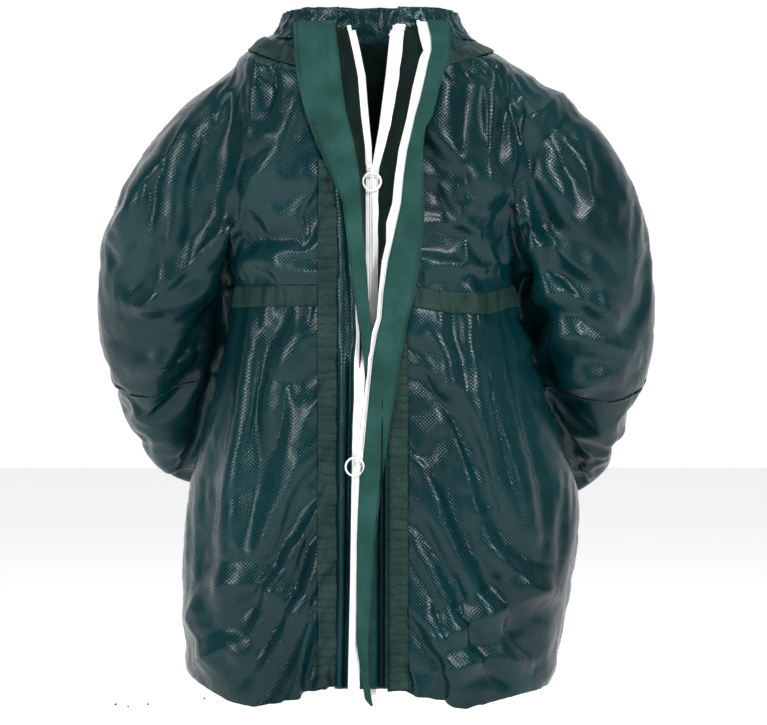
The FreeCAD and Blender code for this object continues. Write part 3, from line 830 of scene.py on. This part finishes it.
def zip_coil(name, table, bottom, ahead, hand, material, drop=None):
    """The coil behind a tape's edge, wound as a fine helix."""
    pitch, radius, wire, turns_points, ring_points = 0.0017, 0.0011, 0.00042, 8, 5
    near = column(table, 1)
    verts = []
    count = int((table[0][0] - bottom) / pitch * turns_points)
    for k in range(count + 1):
        level = table[0][0] - k * pitch / turns_points
        turn = 2 * math.pi * k / turns_points
        centre_x = along_curve(near, level) + hand * 0.0011
        out = Vector((math.cos(turn), 0, 0)) + Vector((0, -math.sin(turn), 0))
        lower = drop(level) if drop is not None else 0.0
        middle = front_point(centre_x, level, ahead + lower - 0.0021) + out * radius
        for j in range(ring_points):
            spin = 2 * math.pi * j / ring_points
            verts.append(middle + out * wire * math.cos(spin) + Vector((0, 0, wire * math.sin(spin))))
    mesh = new_mesh(name, verts, grid_faces(count + 1, ring_points, closed=True))
    mesh.materials.append(material)
    shade_smooth(mesh)
    return new_object(name, mesh)


def flap_strip(name, table, seam_front, tree, columns, pleats, material, seed):
    """A storm flap: sewn edge on the closure, free edge lying just clear of the panel."""
    seam, edge = column(table, 1), column(table, 2)
    rows, shades = [], []
    for level in levels_between(table[0][0], table[-1][0], 0.0025):
        a, b = along_curve(seam, level), along_curve(edge, level)
        reach = abs(b - a)
        row, dark = [], []
        for c in range(columns):
            share = c / (columns - 1)
            x = lerp(a, b, share)
            hit, _, _, _ = tree.ray_cast(Vector((x, RAY_START, min(level, 0.012))), Vector((0, 1, 0)))
            under = (front_y(level) - hit.y) if hit is not None else 0.0
            under = min(max(under, -0.004), 0.016)
            rest = max(under + 0.004, 0.0050 if share > 0.9 else 0.0078)
            fall = smooth(0.0, 1.0, share) * smooth(0.004, 0.030, reach)
            ahead = max(lerp(seam_front, rest, fall), min(under + 0.003, 0.018) if share > 0.3 else 0.0)
            pucker = 0.0009 * (1 - share) ** 2 * noise.noise(Vector((seed, share * 2, level * 90)))
            roll = 0.0016 * noise.noise(Vector((seed + 7, share * 1.4, level * 22))) * share
            for place, top, bottom, depth in pleats:
                near = 1 - min(abs(abs(x) - place) / 0.0022, 1.0)
                ahead += depth * near * smooth(bottom, bottom + 0.02, level) * (1 if level < top else 0)
            row.append(front_point(x, level, ahead + pucker + roll))
            # Darker along the sewn edge: painted shade where the flap turns away from its seam.
            dark.append(max(1 - share * 14, 0.0) * 0.5)
        rows.append(row)
        shades.append(dark)
    obj = solid_strip(name, rows, 0.0011, material, shades)
    soft = obj.modifiers.new("edge", "BEVEL")
    soft.width = 0.0004
    soft.segments = 2
    soft.limit_method = "ANGLE"
    apply_modifiers(obj)
    shade_smooth(obj.data)
    return obj


def fold_with(obj, joint_name):
    """Read a flap's joint and find which side of its axis the flap lies on, then bake the flap's placement
    into its mesh.
    """
    joint = next(j for j in frame["joints"] if j["name"] == joint_name)
    start = Vector(joint["pos_m"])
    axis = Vector(joint["axis"]).normalized()
    outward = Vector((0, -1, FRONT_LEAN)).normalized()
    sideways = axis.cross(outward).normalized()
    centre = sum((Vector(c) for c in obj.bound_box), Vector()) / 8
    top = start + axis * (centre.z - start.z) / axis.z
    if (centre - top).dot(sideways) < 0:
        sideways = -sideways
    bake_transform(obj)


# ---- collar ----

def collar_band(name, turn_from, turn_to, material, lining):
    """The crinkled band round the neck, flaring a little at its top."""
    columns, around = 15, 220
    rows = []
    for r in range(around + 1):
        turn = lerp(turn_from, turn_to, r / around)
        c, s = math.cos(turn), math.sin(turn)
        row = []
        for k in range(columns):
            share = k / (columns - 1)
            level = lerp(0.010, 0.0405 + 0.016 * smooth(-0.2, 0.9, s), share)
            _, right, left, back = at_level(TORSO, level)
            front = front_y(level) + 0.004
            half_x, half_y = (left - right) / 2 + 0.001, (back - front) / 2 + 0.001
            spot = Vector((turn * 9, level * 60, 3.1))
            crinkle = 0.0032 * (abs(noise.noise(spot)) - 0.2) + 0.0016 * noise.noise(spot * 2.7)
            lean = 1 + 0.03 * share * share
            x = (right + left) / 2 + (half_x * lean + crinkle) * math.copysign(abs(c) ** OVAL_POWER, c)
            y = (front + back) / 2 + (half_y * lean + crinkle) * math.copysign(abs(s) ** OVAL_POWER, s)
            row.append((x, y, level + 0.0016 * noise.noise(Vector((turn * 5, 0, 8))) * share))
        rows.append(row)
    mesh = new_mesh(name, [p for row in rows for p in row], grid_faces(len(rows), columns))
    mesh.materials.append(material)
    mesh.materials.append(lining)
    obj = new_object(name, mesh)
    shell = obj.modifiers.new("shell", "SOLIDIFY")
    shell.thickness = 0.0016
    shell.offset = -1
    shell.use_even_offset = True
    apply_modifiers(obj)
    shade_smooth(obj.data)
    return obj


# ---- materials ----

class Recipe:
    """Builds one node material with short calls."""

    def __init__(self, name):
        self.material = bpy.data.materials.new(name)
        self.material.use_nodes = True
        self.tree = self.material.node_tree
        self.shader = self.tree.nodes["Principled BSDF"]
        self.place = self.node("ShaderNodeTexCoord").outputs["Object"]

    def node(self, kind, **values):
        made = self.tree.nodes.new(kind)
        for key, value in values.items():
            setattr(made, key, value)
        return made

    def link(self, source, target):
        self.tree.links.new(source, target)

    def stretched(self, scale, turn=(0, 0, 0)):
        mapping = self.node("ShaderNodeMapping")
        mapping.inputs["Scale"].default_value = scale
        mapping.inputs["Rotation"].default_value = turn
        self.link(self.place, mapping.inputs["Vector"])
        return mapping.outputs["Vector"]

    def noise(self, scale, detail=3):
        made = self.node("ShaderNodeTexNoise")
        made.inputs["Scale"].default_value = scale
        made.inputs["Detail"].default_value = detail
        made.inputs["Roughness"].default_value = 0.55
        self.link(self.place, made.inputs["Vector"])
        return made.outputs["Fac"]

    def stripes(self, scale, vector, distortion):
        made = self.node("ShaderNodeTexWave")
        made.inputs["Scale"].default_value = scale
        made.inputs["Distortion"].default_value = distortion
        made.inputs["Detail"].default_value = 1
        self.link(vector, made.inputs["Vector"])
        return made.outputs["Fac"]

    def cells(self, scale, vector):
        made = self.node("ShaderNodeTexVoronoi", feature="DISTANCE_TO_EDGE")
        made.inputs["Scale"].default_value = scale
        self.link(vector, made.inputs["Vector"])
        return made.outputs["Distance"]

    def maths(self, kind, a, b):
        made = self.node("ShaderNodeMath", operation=kind)
        for socket, value in zip(made.inputs, (a, b)):
            if isinstance(value, (int, float)):
                socket.default_value = value
            else:
                self.link(value, socket)
        return made.outputs["Value"]

    def colours(self, factor, stops):
        ramp = self.node("ShaderNodeValToRGB")
        elements = ramp.color_ramp.elements
        while len(elements) < len(stops):
            elements.new(0.5)
        for element, (place, colour) in zip(elements, stops):
            element.position = place
            element.color = (*colour, 1)
        self.link(factor, ramp.inputs["Fac"])
        return ramp.outputs["Color"]

    def darkened(self, colour, dark, strength):
        # Mix the colour towards a darker one by each point's 'shade' attribute: painted shade in creases,
        # recesses and along seams, and on the zip tape also its grey stitching.
        shade = self.node("ShaderNodeAttribute", attribute_name="shade")
        amount = self.maths("MULTIPLY", shade.outputs["Fac"], strength)
        mix = self.node("ShaderNodeMix", data_type="RGBA")
        self.link(amount, mix.inputs["Factor"])
        self.link(colour, mix.inputs[6])
        mix.inputs[7].default_value = (*dark, 1)
        return mix.outputs[2]

    def rough(self, factor, low, high):
        spread = self.node("ShaderNodeMapRange")
        spread.inputs["To Min"].default_value = low
        spread.inputs["To Max"].default_value = high
        self.link(factor, spread.inputs["Value"])
        self.link(spread.outputs["Result"], self.shader.inputs["Roughness"])

    def bumps(self, layers):
        before = None
        for height, distance, strength in layers:
            bump = self.node("ShaderNodeBump")
            bump.inputs["Distance"].default_value = distance
            bump.inputs["Strength"].default_value = strength
            self.link(height, bump.inputs["Height"])
            if before is not None:
                self.link(before, bump.inputs["Normal"])
            before = bump.outputs["Normal"]
        self.link(before, self.shader.inputs["Normal"])

    def finish(self, colour, **sockets):
        self.link(colour, self.shader.inputs["Base Color"])
        for key, value in sockets.items():
            self.shader.inputs[key.replace("_", " ")].default_value = value
        return self.material


def srgb(red, green, blue):
    """Linear colour from 0-255 display values."""
    return tuple(((c / 255 + 0.055) / 1.055) ** 2.4 if c > 10 else c / 255 / 12.92
                 for c in (red, green, blue))


def laminate():
    """Glossy film on a woven backing: a fine diagonal grid breaks up its highlights."""
    r = Recipe("coated_laminate")
    one = r.stripes(118, r.stretched((1, 0.8, 1), (0, math.radians(45), 0)), 1.2)
    two = r.stripes(118, r.stretched((1, 0.8, 1), (0, math.radians(-45), 0)), 1.2)
    weave = r.maths("MULTIPLY", one, two)
    grain = r.noise(900, 2)
    crease = r.cells(34, r.stretched((1, 1, 0.75)))
    soft = r.noise(60, 4)
    wide = r.noise(7, 3)
    tone = r.maths("ADD", r.maths("MULTIPLY", wide, 0.75), r.maths("MULTIPLY", weave, 0.35))
    colour = r.colours(tone, [(0.28, srgb(1, 29, 33)), (0.52, srgb(4, 43, 47)), (0.80, srgb(13, 60, 63))])
    r.rough(r.maths("ADD", r.maths("MULTIPLY", soft, 0.6), r.maths("MULTIPLY", grain, 0.4)), 0.16, 0.32)
    r.bumps([(soft, 0.0014, 0.30), (crease, 0.0014, 0.24), (weave, 0.0004, 0.50), (grain, 0.0003, 0.25)])
    return r.finish(colour, Specular_IOR_Level=0.22, Coat_Weight=0.04, Coat_Roughness=0.14)


def cloth_like(name, low, middle, high, rough_low, rough_high, dark):
    """Matt woven or felted cloth with a fine rib and uneven dye, darkened as painted shade where its points
    carry a shade value.
    """
    r = Recipe(name)
    rib = r.stripes(210, r.stretched((1, 1, 1), (0, math.radians(38), 0)), 2.0)
    cross = r.stripes(230, r.stretched((1, 1, 1), (0, math.radians(-52), 0)), 2.0)
    weave = r.maths("MULTIPLY", rib, cross)
    fuzz = r.noise(1300, 2)
    wide = r.noise(26, 4)
    tone = r.maths("ADD", r.maths("MULTIPLY", wide, 0.62), r.maths("MULTIPLY", fuzz, 0.38))
    # Darker towards the last colour where points carry a shade value: painted shade along the flap's sewn
    # edge and in the facings' corners.
    colour = r.darkened(r.colours(tone, [(0.34, low), (0.5, middle), (0.66, high)]), dark, 0.8)
    r.rough(fuzz, rough_low, rough_high)
    r.bumps([(r.noise(180, 3), 0.0006, 0.35), (weave, 0.00025, 0.5), (fuzz, 0.0002, 0.4)])
    return r.finish(colour, Specular_IOR_Level=0.07, Sheen_Weight=0.04, Sheen_Roughness=0.5)


def seam_tape():
    """Olive green tape, heat bonded: a little gloss over a visible scrim."""
    r = Recipe("bonded_seam_tape")
    warp = r.stripes(150, r.stretched((1, 1, 0.2)), 0.8)
    weft = r.stripes(150, r.stretched((0.2, 0.2, 1), (0, math.radians(90), 0)), 0.8)
    scrim = r.maths("MULTIPLY", warp, weft)
    fuzz = r.noise(800, 2)
    wide = r.noise(30, 4)
    tone = r.maths("ADD", r.maths("MULTIPLY", wide, 0.6), r.maths("MULTIPLY", fuzz, 0.4))
    colour = r.colours(tone, [(0.34, srgb(13, 36, 33)), (0.5, srgb(22, 47, 43)), (0.68, srgb(38, 62, 57))])
    # Painted shade: darker in the gathers, by the shade attribute that laid_tape sets.
    colour = r.darkened(colour, srgb(8, 24, 22), 0.85)
    r.rough(wide, 0.38, 0.62)
    r.bumps([(r.noise(140, 3), 0.0009, 0.45), (scrim, 0.0003, 0.6), (fuzz, 0.00025, 0.5)])
    return r.finish(colour, Specular_IOR_Level=0.15, Sheen_Weight=0.02, Sheen_Roughness=0.4)


def zip_cloth():
    """Off-white polyester tape with a herringbone and grey stitching lines, and painted shade along its
    dipped edges.
    """
    r = Recipe("white_zip_tape")
    bone = r.stripes(190, r.stretched((1, 1, 1), (0, math.radians(60), 0)), 0.6)
    ribs = r.stripes(240, r.stretched((0.05, 0.05, 1), (0, math.radians(90), 0)), 0.2)
    fuzz = r.noise(1500, 2)
    tone = r.maths("ADD", r.maths("MULTIPLY", r.noise(40, 3), 0.5), r.maths("MULTIPLY", fuzz, 0.5))
    colour = r.colours(tone, [(0.35, srgb(222, 224, 220)), (0.65, srgb(244, 245, 242))])
    colour = r.darkened(colour, srgb(140, 148, 146), 0.85)
    r.rough(fuzz, 0.42, 0.62)
    r.bumps([(bone, 0.0002, 0.4), (ribs, 0.0002, 0.35), (fuzz, 0.0001, 0.3)])
    return r.finish(colour, Specular_IOR_Level=0.4, Sheen_Weight=0.1)


def zip_plastic():
    """Moulded white plastic, slightly worn."""
    r = Recipe("white_moulded_plastic")
    wear = r.noise(220, 4)
    fine = r.noise(1800, 2)
    colour = r.colours(wear, [(0.3, srgb(222, 224, 220)), (0.7, srgb(242, 242, 240))])
    r.rough(wear, 0.22, 0.42)
    r.bumps([(wear, 0.0002, 0.25), (fine, 0.00005, 0.4)])
    return r.finish(colour, Specular_IOR_Level=0.5, Subsurface_Weight=0.08, Subsurface_Scale=0.002)


def elastic_braid():
    """Ribbed braid of covered rubber threads."""
    r = Recipe("elastic_braid")
    ribs = r.stripes(260, r.stretched((0.1, 0.1, 1), (0, math.radians(90), 0)), 0.3)
    knit = r.stripes(320, r.stretched((1, 1, 0.4), (0, 0, math.radians(45))), 1.0)
    fuzz = r.noise(1500, 2)
    colour = r.colours(fuzz, [(0.35, srgb(20, 52, 46)), (0.65, srgb(42, 84, 74))])
    r.rough(fuzz, 0.6, 0.85)
    r.bumps([(ribs, 0.0005, 0.6), (knit, 0.0003, 0.5), (fuzz, 0.0001, 0.4)])
    return r.finish(colour, Specular_IOR_Level=0.25, Sheen_Weight=0.3)


# ---- camera, floor and light ----

def build_camera():
    middle = Vector((0.012, -0.100, -0.330))
    data = bpy.data.cameras.new("camera")
    data.lens = 140
    cam = new_object("camera", data)
    cam.location = middle + Vector((0, -3.1, 0))
    cam.rotation_euler = (math.radians(90), 0, 0)
    bpy.context.scene.camera = cam


def area_light(name, place, target, size, power):
    data = bpy.data.lights.new(name, "AREA")
    data.shape = "RECTANGLE"
    data.size, data.size_y = size
    data.energy = power
    obj = new_object(name, data)
    obj.location = place
    aim = Vector(target) - Vector(place)
    obj.rotation_euler = aim.to_track_quat("-Z", "Y").to_euler()


def build_studio():
    scene = bpy.context.scene
    scene.view_settings.view_transform = "Standard"
    world = bpy.data.worlds.new("studio")
    world.use_nodes = True
    nodes, links = world.node_tree.nodes, world.node_tree.links
    split = nodes.new("ShaderNodeSeparateXYZ")
    spread = nodes.new("ShaderNodeMapRange")
    spread.interpolation_type = "SMOOTHSTEP"
    spread.inputs["From Min"].default_value = -0.2
    spread.inputs["From Max"].default_value = 0.85
    spread.inputs["To Min"].default_value = 0.12
    spread.inputs["To Max"].default_value = 1.05
    links.new(nodes.new("ShaderNodeTexCoord").outputs["Generated"], split.inputs["Vector"])
    links.new(split.outputs["Y"], spread.inputs["Value"])
    links.new(spread.outputs["Result"], nodes["Background"].inputs["Strength"])
    nodes["Background"].inputs["Color"].default_value = (0.97, 0.98, 1.0, 1)
    scene.world = world
    area_light("key", (1.5, -2.0, 1.2), (0.0, 0, -0.3), (0.42, 1.0), 62)
    area_light("fill", (-1.7, -1.9, 0.6), (0, 0, -0.3), (0.42, 1.2), 40)
    area_light("top", (0.1, -0.4, 2.0), (0, 0, -0.2), (1.4, 1.0), 12)
    verts = [(-9, -9, -0.760), (9, -9, -0.760), (9, 9, -0.760), (-9, 9, -0.760)]
    floor = new_object("floor", new_mesh("floor", verts, [(0, 1, 2, 3)]))
    pale = bpy.data.materials.new("pale_floor")
    pale.use_nodes = True
    shader = pale.node_tree.nodes["Principled BSDF"]
    shader.inputs["Base Color"].default_value = (0.86, 0.86, 0.86, 1)
    shader.inputs["Roughness"].default_value = 0.9
    shader.inputs["Emission Color"].default_value = (1, 1, 1, 1)
    shader.inputs["Emission Strength"].default_value = 0.50
    floor.data.materials.append(pale)


# ---- build ----

TORSO_PIECES = ("front", "back", "hem")
WHITE_NODES = ("inner_slider_body", "inner_ring_puller", "inner_zip_top_stops", "inner_zip_bottom_box",
               "outer_slider_body", "outer_zip_bottom_box")
ZIP_BOTTOM = -0.6630

MATERIALS = {
    "coated_fabric": laminate(),
    "matt_lining": cloth_like("matt_facing", srgb(22, 52, 47), srgb(30, 66, 60), srgb(42, 80, 74),
                              0.66, 0.90, srgb(10, 34, 30)),
    # Painted shade: the facing material is a darker copy of the matt inner face seen on the flaps, used for
    # that same face where it lies in shade, on the closure's facings and inside the shell.
    "facing": cloth_like("inner_facing", srgb(3, 15, 14), srgb(6, 23, 21), srgb(12, 34, 31),
                         0.70, 0.92, srgb(6, 18, 16)),
    "seam_tape": seam_tape(),
    "zip_tape": zip_cloth(),
    "white_plastic": zip_plastic(),
    "elastic": elastic_braid(),
}


def keep(obj, nodes, body="jacket"):
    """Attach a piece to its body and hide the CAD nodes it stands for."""
    if body is not None:
        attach(obj, body)
    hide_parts(*nodes)
    return obj


def make_shell():
    cloth = joined_form("cloth", 0.0, CLOTH_VOXEL)
    open_form(cloth)
    remember_cut(cloth.data)
    body = joined_form("wearer", BODY_INSET, BODY_VOXEL)
    drape(cloth, body, SIM_FRAMES)
    bpy.data.objects.remove(body)
    cloth.vertex_groups.clear()
    fit_hem(cloth.data)
    finer = cloth.modifiers.new("finer", "SUBSURF")
    finer.levels = 1
    apply_modifiers(cloth)
    add_folds(cloth.data)
    gather_cuffs(cloth.data)
    crumple(cloth.data, 0.0022, 0.040, 3.0)
    crumple(cloth.data, 0.0009, 0.012, 11.0)
    stay_inside(cloth.data, (0.0240, 0.0180, 0.0270))
    cut_front(cloth)
    return cloth


def split_shell(cloth, names):
    # Inner faces get the darker facing material: painted shade inside the shell.
    made = divided(cloth.data, names, "cloth_", [MATERIALS["coated_fabric"], MATERIALS["facing"]], BODY_CLOTH)
    bpy.data.objects.remove(cloth)
    for name, obj in made.items():
        keep(obj, [name])
    return made


def make_tapes(torso):
    tape = MATERIALS["seam_tape"]
    hem = -0.6665
    for side, top, near, far, widest, swell, number, seed in (
            ("right", -0.118, -0.0560, -0.0315, 0.014, 0.0016, 5, 2.0),
            ("left", -0.300, 0.0142, 0.0374, 0.013, 0.0020, 9, 4.0)):
        marks = puffs(number, 0.0, 0.60, 0.006, widest)
        rays = front_rays(top, hem, near, far, 0.0015, 13)
        strip = laid_tape("tape_front_" + side, torso, rays, 0.0006, swell, marks, tape, seed)
        keep(strip, ["front_tape_" + side])

    def belt_level(turn):
        across = math.cos(turn) * 0.13
        if math.sin(turn) > 0 or across < 0:
            return WAIST_LEVEL - 0.0005
        return WAIST_LEVEL - 0.0085 * smooth(0.03, 0.10, across) * (1 - smooth(0.112, 0.130, across))

    marks = puffs(13, 0.0, 1.0, 0.012, 0.030)
    front = -math.pi / 2
    spans = {
        "right": (front - 0.51, -math.pi + 0.02),
        "left": (front + 0.33, -0.02),
        "back": (-0.02, math.pi + 0.02),
    }
    for side, (turn_from, turn_to) in spans.items():
        rays = round_rays(turn_from, turn_to, belt_level, 0.0225, 0.002, 9)
        belt = laid_tape("tape_waist_" + side, torso, rays, 0.0006, 0.0007, marks, tape, 6.0)
        keep(belt, ["waist_tape_" + side])
    rays = round_rays(front - 0.62, front + 0.50 - 2 * math.pi, belt_level, 0.010, 0.002, 6)
    marks = puffs(17, 0.0, 1.2, 0.004, 0.007)
    band = laid_tape("elastic_waist", torso, rays, -0.0080, 0.0012, marks, MATERIALS["elastic"], 8.0)
    keep(band, ["waist_elastic"])

    marks = puffs(19, 0.0, 1.4, 0.009, 0.020)
    rays = neck_rays(front + 0.62, front - 0.62 + 2 * math.pi, 0.016, 0.002, 8)
    neck = laid_tape("tape_neck", torso, rays, 0.0007, 0.0009, marks, tape, 10.0)
    keep(neck, ["neck_tape"])


def ring_round_arm(name, tree, rows, share, width, columns, lift, swell, gap, material, seed):
    """A narrow band round an arm, square to it."""
    x, y, z, radius = spline(rows, share)
    middle = Vector((x, y, z))
    along = (Vector(spline(rows, share + 0.02)[:3]) - Vector(spline(rows, share - 0.02)[:3])).normalized()
    side = along.cross(Vector((0, 1, 0))).normalized()
    other = along.cross(side)

    def ray(r, c):
        turn = 2 * math.pi * r
        out = side * math.cos(turn) + other * math.sin(turn)
        return middle + out * 2.2 * radius + along * width * (c - 0.5), -out

    rays = ray_rows(150, columns, 2 * math.pi * radius, ray)
    marks = puffs(seed, 0.0, 2 * math.pi * radius + gap, gap * 0.8, gap * 1.3)
    return laid_tape(name, tree, rays, lift, swell, marks, material, seed, 1.9 * radius)


def make_arm_bands(arms):
    for side, rows, number in (("right", SLEEVE_RIGHT, 21), ("left", SLEEVE_LEFT, 25)):
        welt = ring_round_arm("seam_elbow_" + side, arms, rows, ELBOW_SHARE, 0.0036, 4, 0.0003, 0.0006,
                              0.0045, MATERIALS["coated_fabric"], number)
        keep(welt, ["elbow_seam_" + side])
        band = ring_round_arm("elastic_cuff_" + side, arms, rows, 0.865, 0.0080, 6, -0.0040, 0.0010,
                              0.0050, MATERIALS["elastic"], number + 1)
        keep(band, ["cuff_elastic_" + side])


def make_closure(torso):
    # facing is the darker, painted-shade copy of the matt inner face.
    facing, cloth, zips = MATERIALS["facing"], MATERIALS["coated_fabric"], MATERIALS["zip_tape"]
    halves = (
        ("inner_zip", "right", INNER_HALF_RIGHT, INNER_TAPE_FRONT, -1),
        ("inner_zip", "left", INNER_HALF_LEFT, INNER_TAPE_FRONT, 1),
        ("outer_zip", "right", OUTER_HALF_RIGHT, OUTER_TAPE_FRONT, -1),
        ("outer_zip", "left", OUTER_HALF_LEFT, OUTER_TAPE_FRONT, 1),
    )
    for name, side, table, ahead, hand in halves:
        drop = sunk if (name, side) == ("outer_zip", "right") else None
        band = zip_half(name + "_band_" + side, table, ZIP_BOTTOM, ahead, zips, drop)
        keep(band, [name + "_tape_" + side])
        coil = zip_coil(name + "_helix_" + side, table, ZIP_BOTTOM, ahead, hand, MATERIALS["white_plastic"],
                        drop)
        keep(coil, [name + "_coil_" + side])

    def edge(table, number):
        rows = column(table, number)
        return lambda level: along_curve(rows, level)

    inner_right, inner_left = edge(INNER_HALF_RIGHT, 2), edge(INNER_HALF_LEFT, 2)
    outer_right, outer_left = edge(OUTER_HALF_RIGHT, 2), edge(OUTER_HALF_LEFT, 2)
    outer_coil_left = edge(OUTER_HALF_LEFT, 1)
    inner_seam = edge(INNER_FLAP, 1)

    def wall_right(level):
        if level < -0.300:
            return inner_right(level) - 0.0055
        return min(inner_seam(level), inner_right(level) - 0.0010)

    def wall_left(level):
        if level < -0.290:
            return inner_left(level) + 0.0046
        return max(outer_coil_left(level) + 0.0006, inner_left(level) + 0.0012)

    # The third values darken the facing: painted shade at its foot beside the zip and at its top under the
    # flap's seam.
    rise = [(0.0, -0.0010, 0.5), (0.06, 0.0002, 0.7), (0.16, 0.0014, 0.2), (0.40, 0.0036, 0.0),
            (0.62, 0.0056, 0.0), (0.80, 0.0082, 0.15), (0.92, 0.0108, 0.5), (1.0, 0.0122, 0.9)]
    right = profile_strip("facing_right", 0.0160, -0.6620, inner_right, wall_right, rise, facing,
                          thickness=0.0008, wander=0.0012, seed=3.0)
    keep(right, ["front_facing_right"])
    left = profile_strip("facing_left", 0.0190, -0.6620, inner_left, wall_left, rise, facing,
                         thickness=0.0008, wander=0.0016, seed=5.0)
    keep(left, ["front_facing_left"])

    def base_right(level):
        return min(-0.0360, outer_right(level) - 0.0135)

    def base_left(level):
        return max(0.0168, outer_left(level) + 0.0120)

    fold_right = [(0.0, -0.0022, 0.0), (0.10, 0.0020, 0.0), (0.20, 0.0048, 0.0), (0.34, 0.0066, 0.0),
                  (0.46, 0.0058, 0.0), (0.58, 0.0026, 0.0), (0.68, 0.0008, 0.0), (0.84, 0.0012, 0.0),
                  (0.95, 0.0080, 0.0), (1.0, 0.0126, 0.0)]
    right = profile_strip("placket_right", 0.0130, -0.6640, base_right, outer_right, fold_right, cloth,
                          thickness=0.0008, wander=0.0010, seed=7.0,
                          scale=lambda level: (OUTER_TAPE_FRONT + sunk(level)) / OUTER_TAPE_FRONT)
    keep(right, ["storm_placket_right"])
    fold_left = [(0.0, 0.0126, 0.0), (0.10, 0.0118, 0.0), (0.30, 0.0104, 0.0), (0.55, 0.0086, 0.0),
                 (0.66, 0.0050, 0.0), (0.74, 0.0016, 0.0), (0.82, 0.0016, 0.0), (0.88, 0.0048, 0.0),
                 (0.93, 0.0056, 0.0), (0.97, 0.0034, 0.0), (1.0, -0.0018, 0.0)]
    left = profile_strip("placket_left", 0.0120, -0.6640, outer_left, base_left, fold_left, cloth,
                         thickness=0.0008, wander=0.0013, seed=9.0)
    keep(left, ["storm_placket_left"])

    pleats = [(0.0480, 1.0, -0.060, -0.0016), (0.0530, 1.0, -0.030, 0.0012), (0.0425, 1.0, -0.045, 0.0010)]
    inner = flap_strip("flap_inner", INNER_FLAP, INNER_SEAM_FRONT, torso, 26, pleats,
                       MATERIALS["matt_lining"], 1.0)
    fold_with(inner, "inner_flap_fold")
    keep(inner, ["inner_storm_flap"], body=None)
    outer = flap_strip("flap_outer", OUTER_FLAP, OUTER_SEAM_FRONT, torso, 22, [],
                       MATERIALS["matt_lining"], 2.0)
    fold_with(outer, "outer_flap_fold")
    keep(outer, ["outer_storm_flap"], body=None)


def make_end_fold():
    """The white tape's end, folded over at the top of the inner zip's left half."""
    outline = [(0.0172, 0.0100), (0.0205, 0.0082), (0.0255, 0.0125), (0.0335, 0.0150), (0.0368, 0.0180),
               (0.0340, 0.0215), (0.0250, 0.0220), (0.0215, 0.0165)]
    rows = []
    for share in (0.0, 0.5, 1.0):
        rows.append([front_point(lerp(0.0265, x, share), lerp(0.0160, z, share),
                                 INNER_TAPE_FRONT + 0.0016 + 0.0009 * (1 - share)) for x, z in outline])
    rows = [row + [row[0]] for row in rows]
    end = solid_strip("zip_end_fold_left", rows, 0.0008, MATERIALS["zip_tape"])
    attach(end, "jacket")


def make_ring(name, node, body, lean, tilt):
    """A thin moulded ring hanging a little askew from its slider."""
    low, high = Vector(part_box(node)[0]), Vector(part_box(node)[1])
    radius = (high.x - low.x) / 2 - 0.00105
    wire, around, ring = 0.00105, 64, 12
    hinge = Vector(((low.x + high.x) / 2, (low.y + high.y) / 2, high.z - wire))
    verts = []
    for k in range(around):
        turn = 2 * math.pi * k / around
        out = Vector((math.sin(turn), 0, math.cos(turn)))
        for j in range(ring):
            spin = 2 * math.pi * j / ring
            flat = 0.85 + 0.15 * math.cos(spin) ** 2
            reach = radius + wire * math.cos(spin) * flat
            verts.append(out * reach + Vector((0, wire * math.sin(spin), -radius)))
    faces = grid_faces(around, ring, closed=True)
    last = (around - 1) * ring
    faces += [(last + j, last + (j + 1) % ring, (j + 1) % ring, j) for j in range(ring)]
    base = len(verts)
    stub = [(-0.0017, 0.0012), (0.0017, 0.0012), (0.0021, -0.0014), (0.0012, -0.0030), (-0.0012, -0.0030),
            (-0.0021, -0.0014)]
    for depth in (-0.0011, 0.0011):
        verts += [Vector((x, depth, z)) for x, z in stub]
    count = len(stub)
    faces += [(base + j, base + (j + 1) % count, base + count + (j + 1) % count, base + count + j)
              for j in range(count)]
    faces += [tuple(base + j for j in reversed(range(count))), tuple(base + count + j for j in range(count))]
    turn = Matrix.Rotation(lean, 3, "Y") @ Matrix.Rotation(tilt, 3, "Z")
    mesh = new_mesh(name, [hinge + turn @ v for v in verts], faces)
    mesh.materials.append(MATERIALS["white_plastic"])
    shade_smooth(mesh)
    obj = new_object(name, mesh)
    keep(obj, [node], body=body)


def make_stops():
    """A small moulded stop at the top of each row of the outer zip's teeth."""
    verts, faces = [], []
    outline = ((0.0, -0.0022), (0.0030, -0.0022), (0.0034, 0.0), (0.0030, 0.0022), (0.0, 0.0022))
    for table, hand in ((OUTER_HALF_RIGHT, -1), (OUTER_HALF_LEFT, 1)):
        level, edge = table[0][0] - 0.0010, table[0][1] - hand * 0.0003
        lower = sunk(level) if hand < 0 else 0.0
        base = len(verts)
        for ahead in (0.0002, 0.0024):
            verts += [front_point(edge + hand * across, level + up, OUTER_TAPE_FRONT + lower + ahead)
                      for across, up in outline]
        faces += [(base + k, base + (k + 1) % 5, base + 5 + (k + 1) % 5, base + 5 + k) for k in range(5)]
        faces += [tuple(base + k for k in (4, 3, 2, 1, 0)), tuple(base + 5 + k for k in range(5))]
    mesh = new_mesh("outer_stops", verts, faces)
    mesh.materials.append(MATERIALS["white_plastic"])
    keep(new_object("outer_stops", mesh), ["outer_zip_top_stops"])


def make_collar():
    front = -math.pi / 2
    collar = collar_band("collar_band", front + 0.28, front - 0.33 + 2 * math.pi,
                         MATERIALS["coated_fabric"], MATERIALS["facing"])
    keep(collar, ["collar"])


build_camera()
shell = make_shell()
shell_names = piece_names(shell.data)
torso_tree = face_tree(shell.data, shell_names, TORSO_PIECES)
arm_tree = face_tree(shell.data, shell_names, ("sleeve", "cuff"))
make_tapes(torso_tree)
make_arm_bands(arm_tree)
make_closure(torso_tree)
make_collar()
make_end_fold()
make_ring("ring_outer", "outer_ring_puller", "outer_puller", math.radians(20), math.radians(14))
split_shell(shell, shell_names)
for white in WHITE_NODES:
    node = frame["nodes"][white]
    for place in node.material_slots:
        place.material = MATERIALS["white_plastic"]
make_stops()
build_studio()
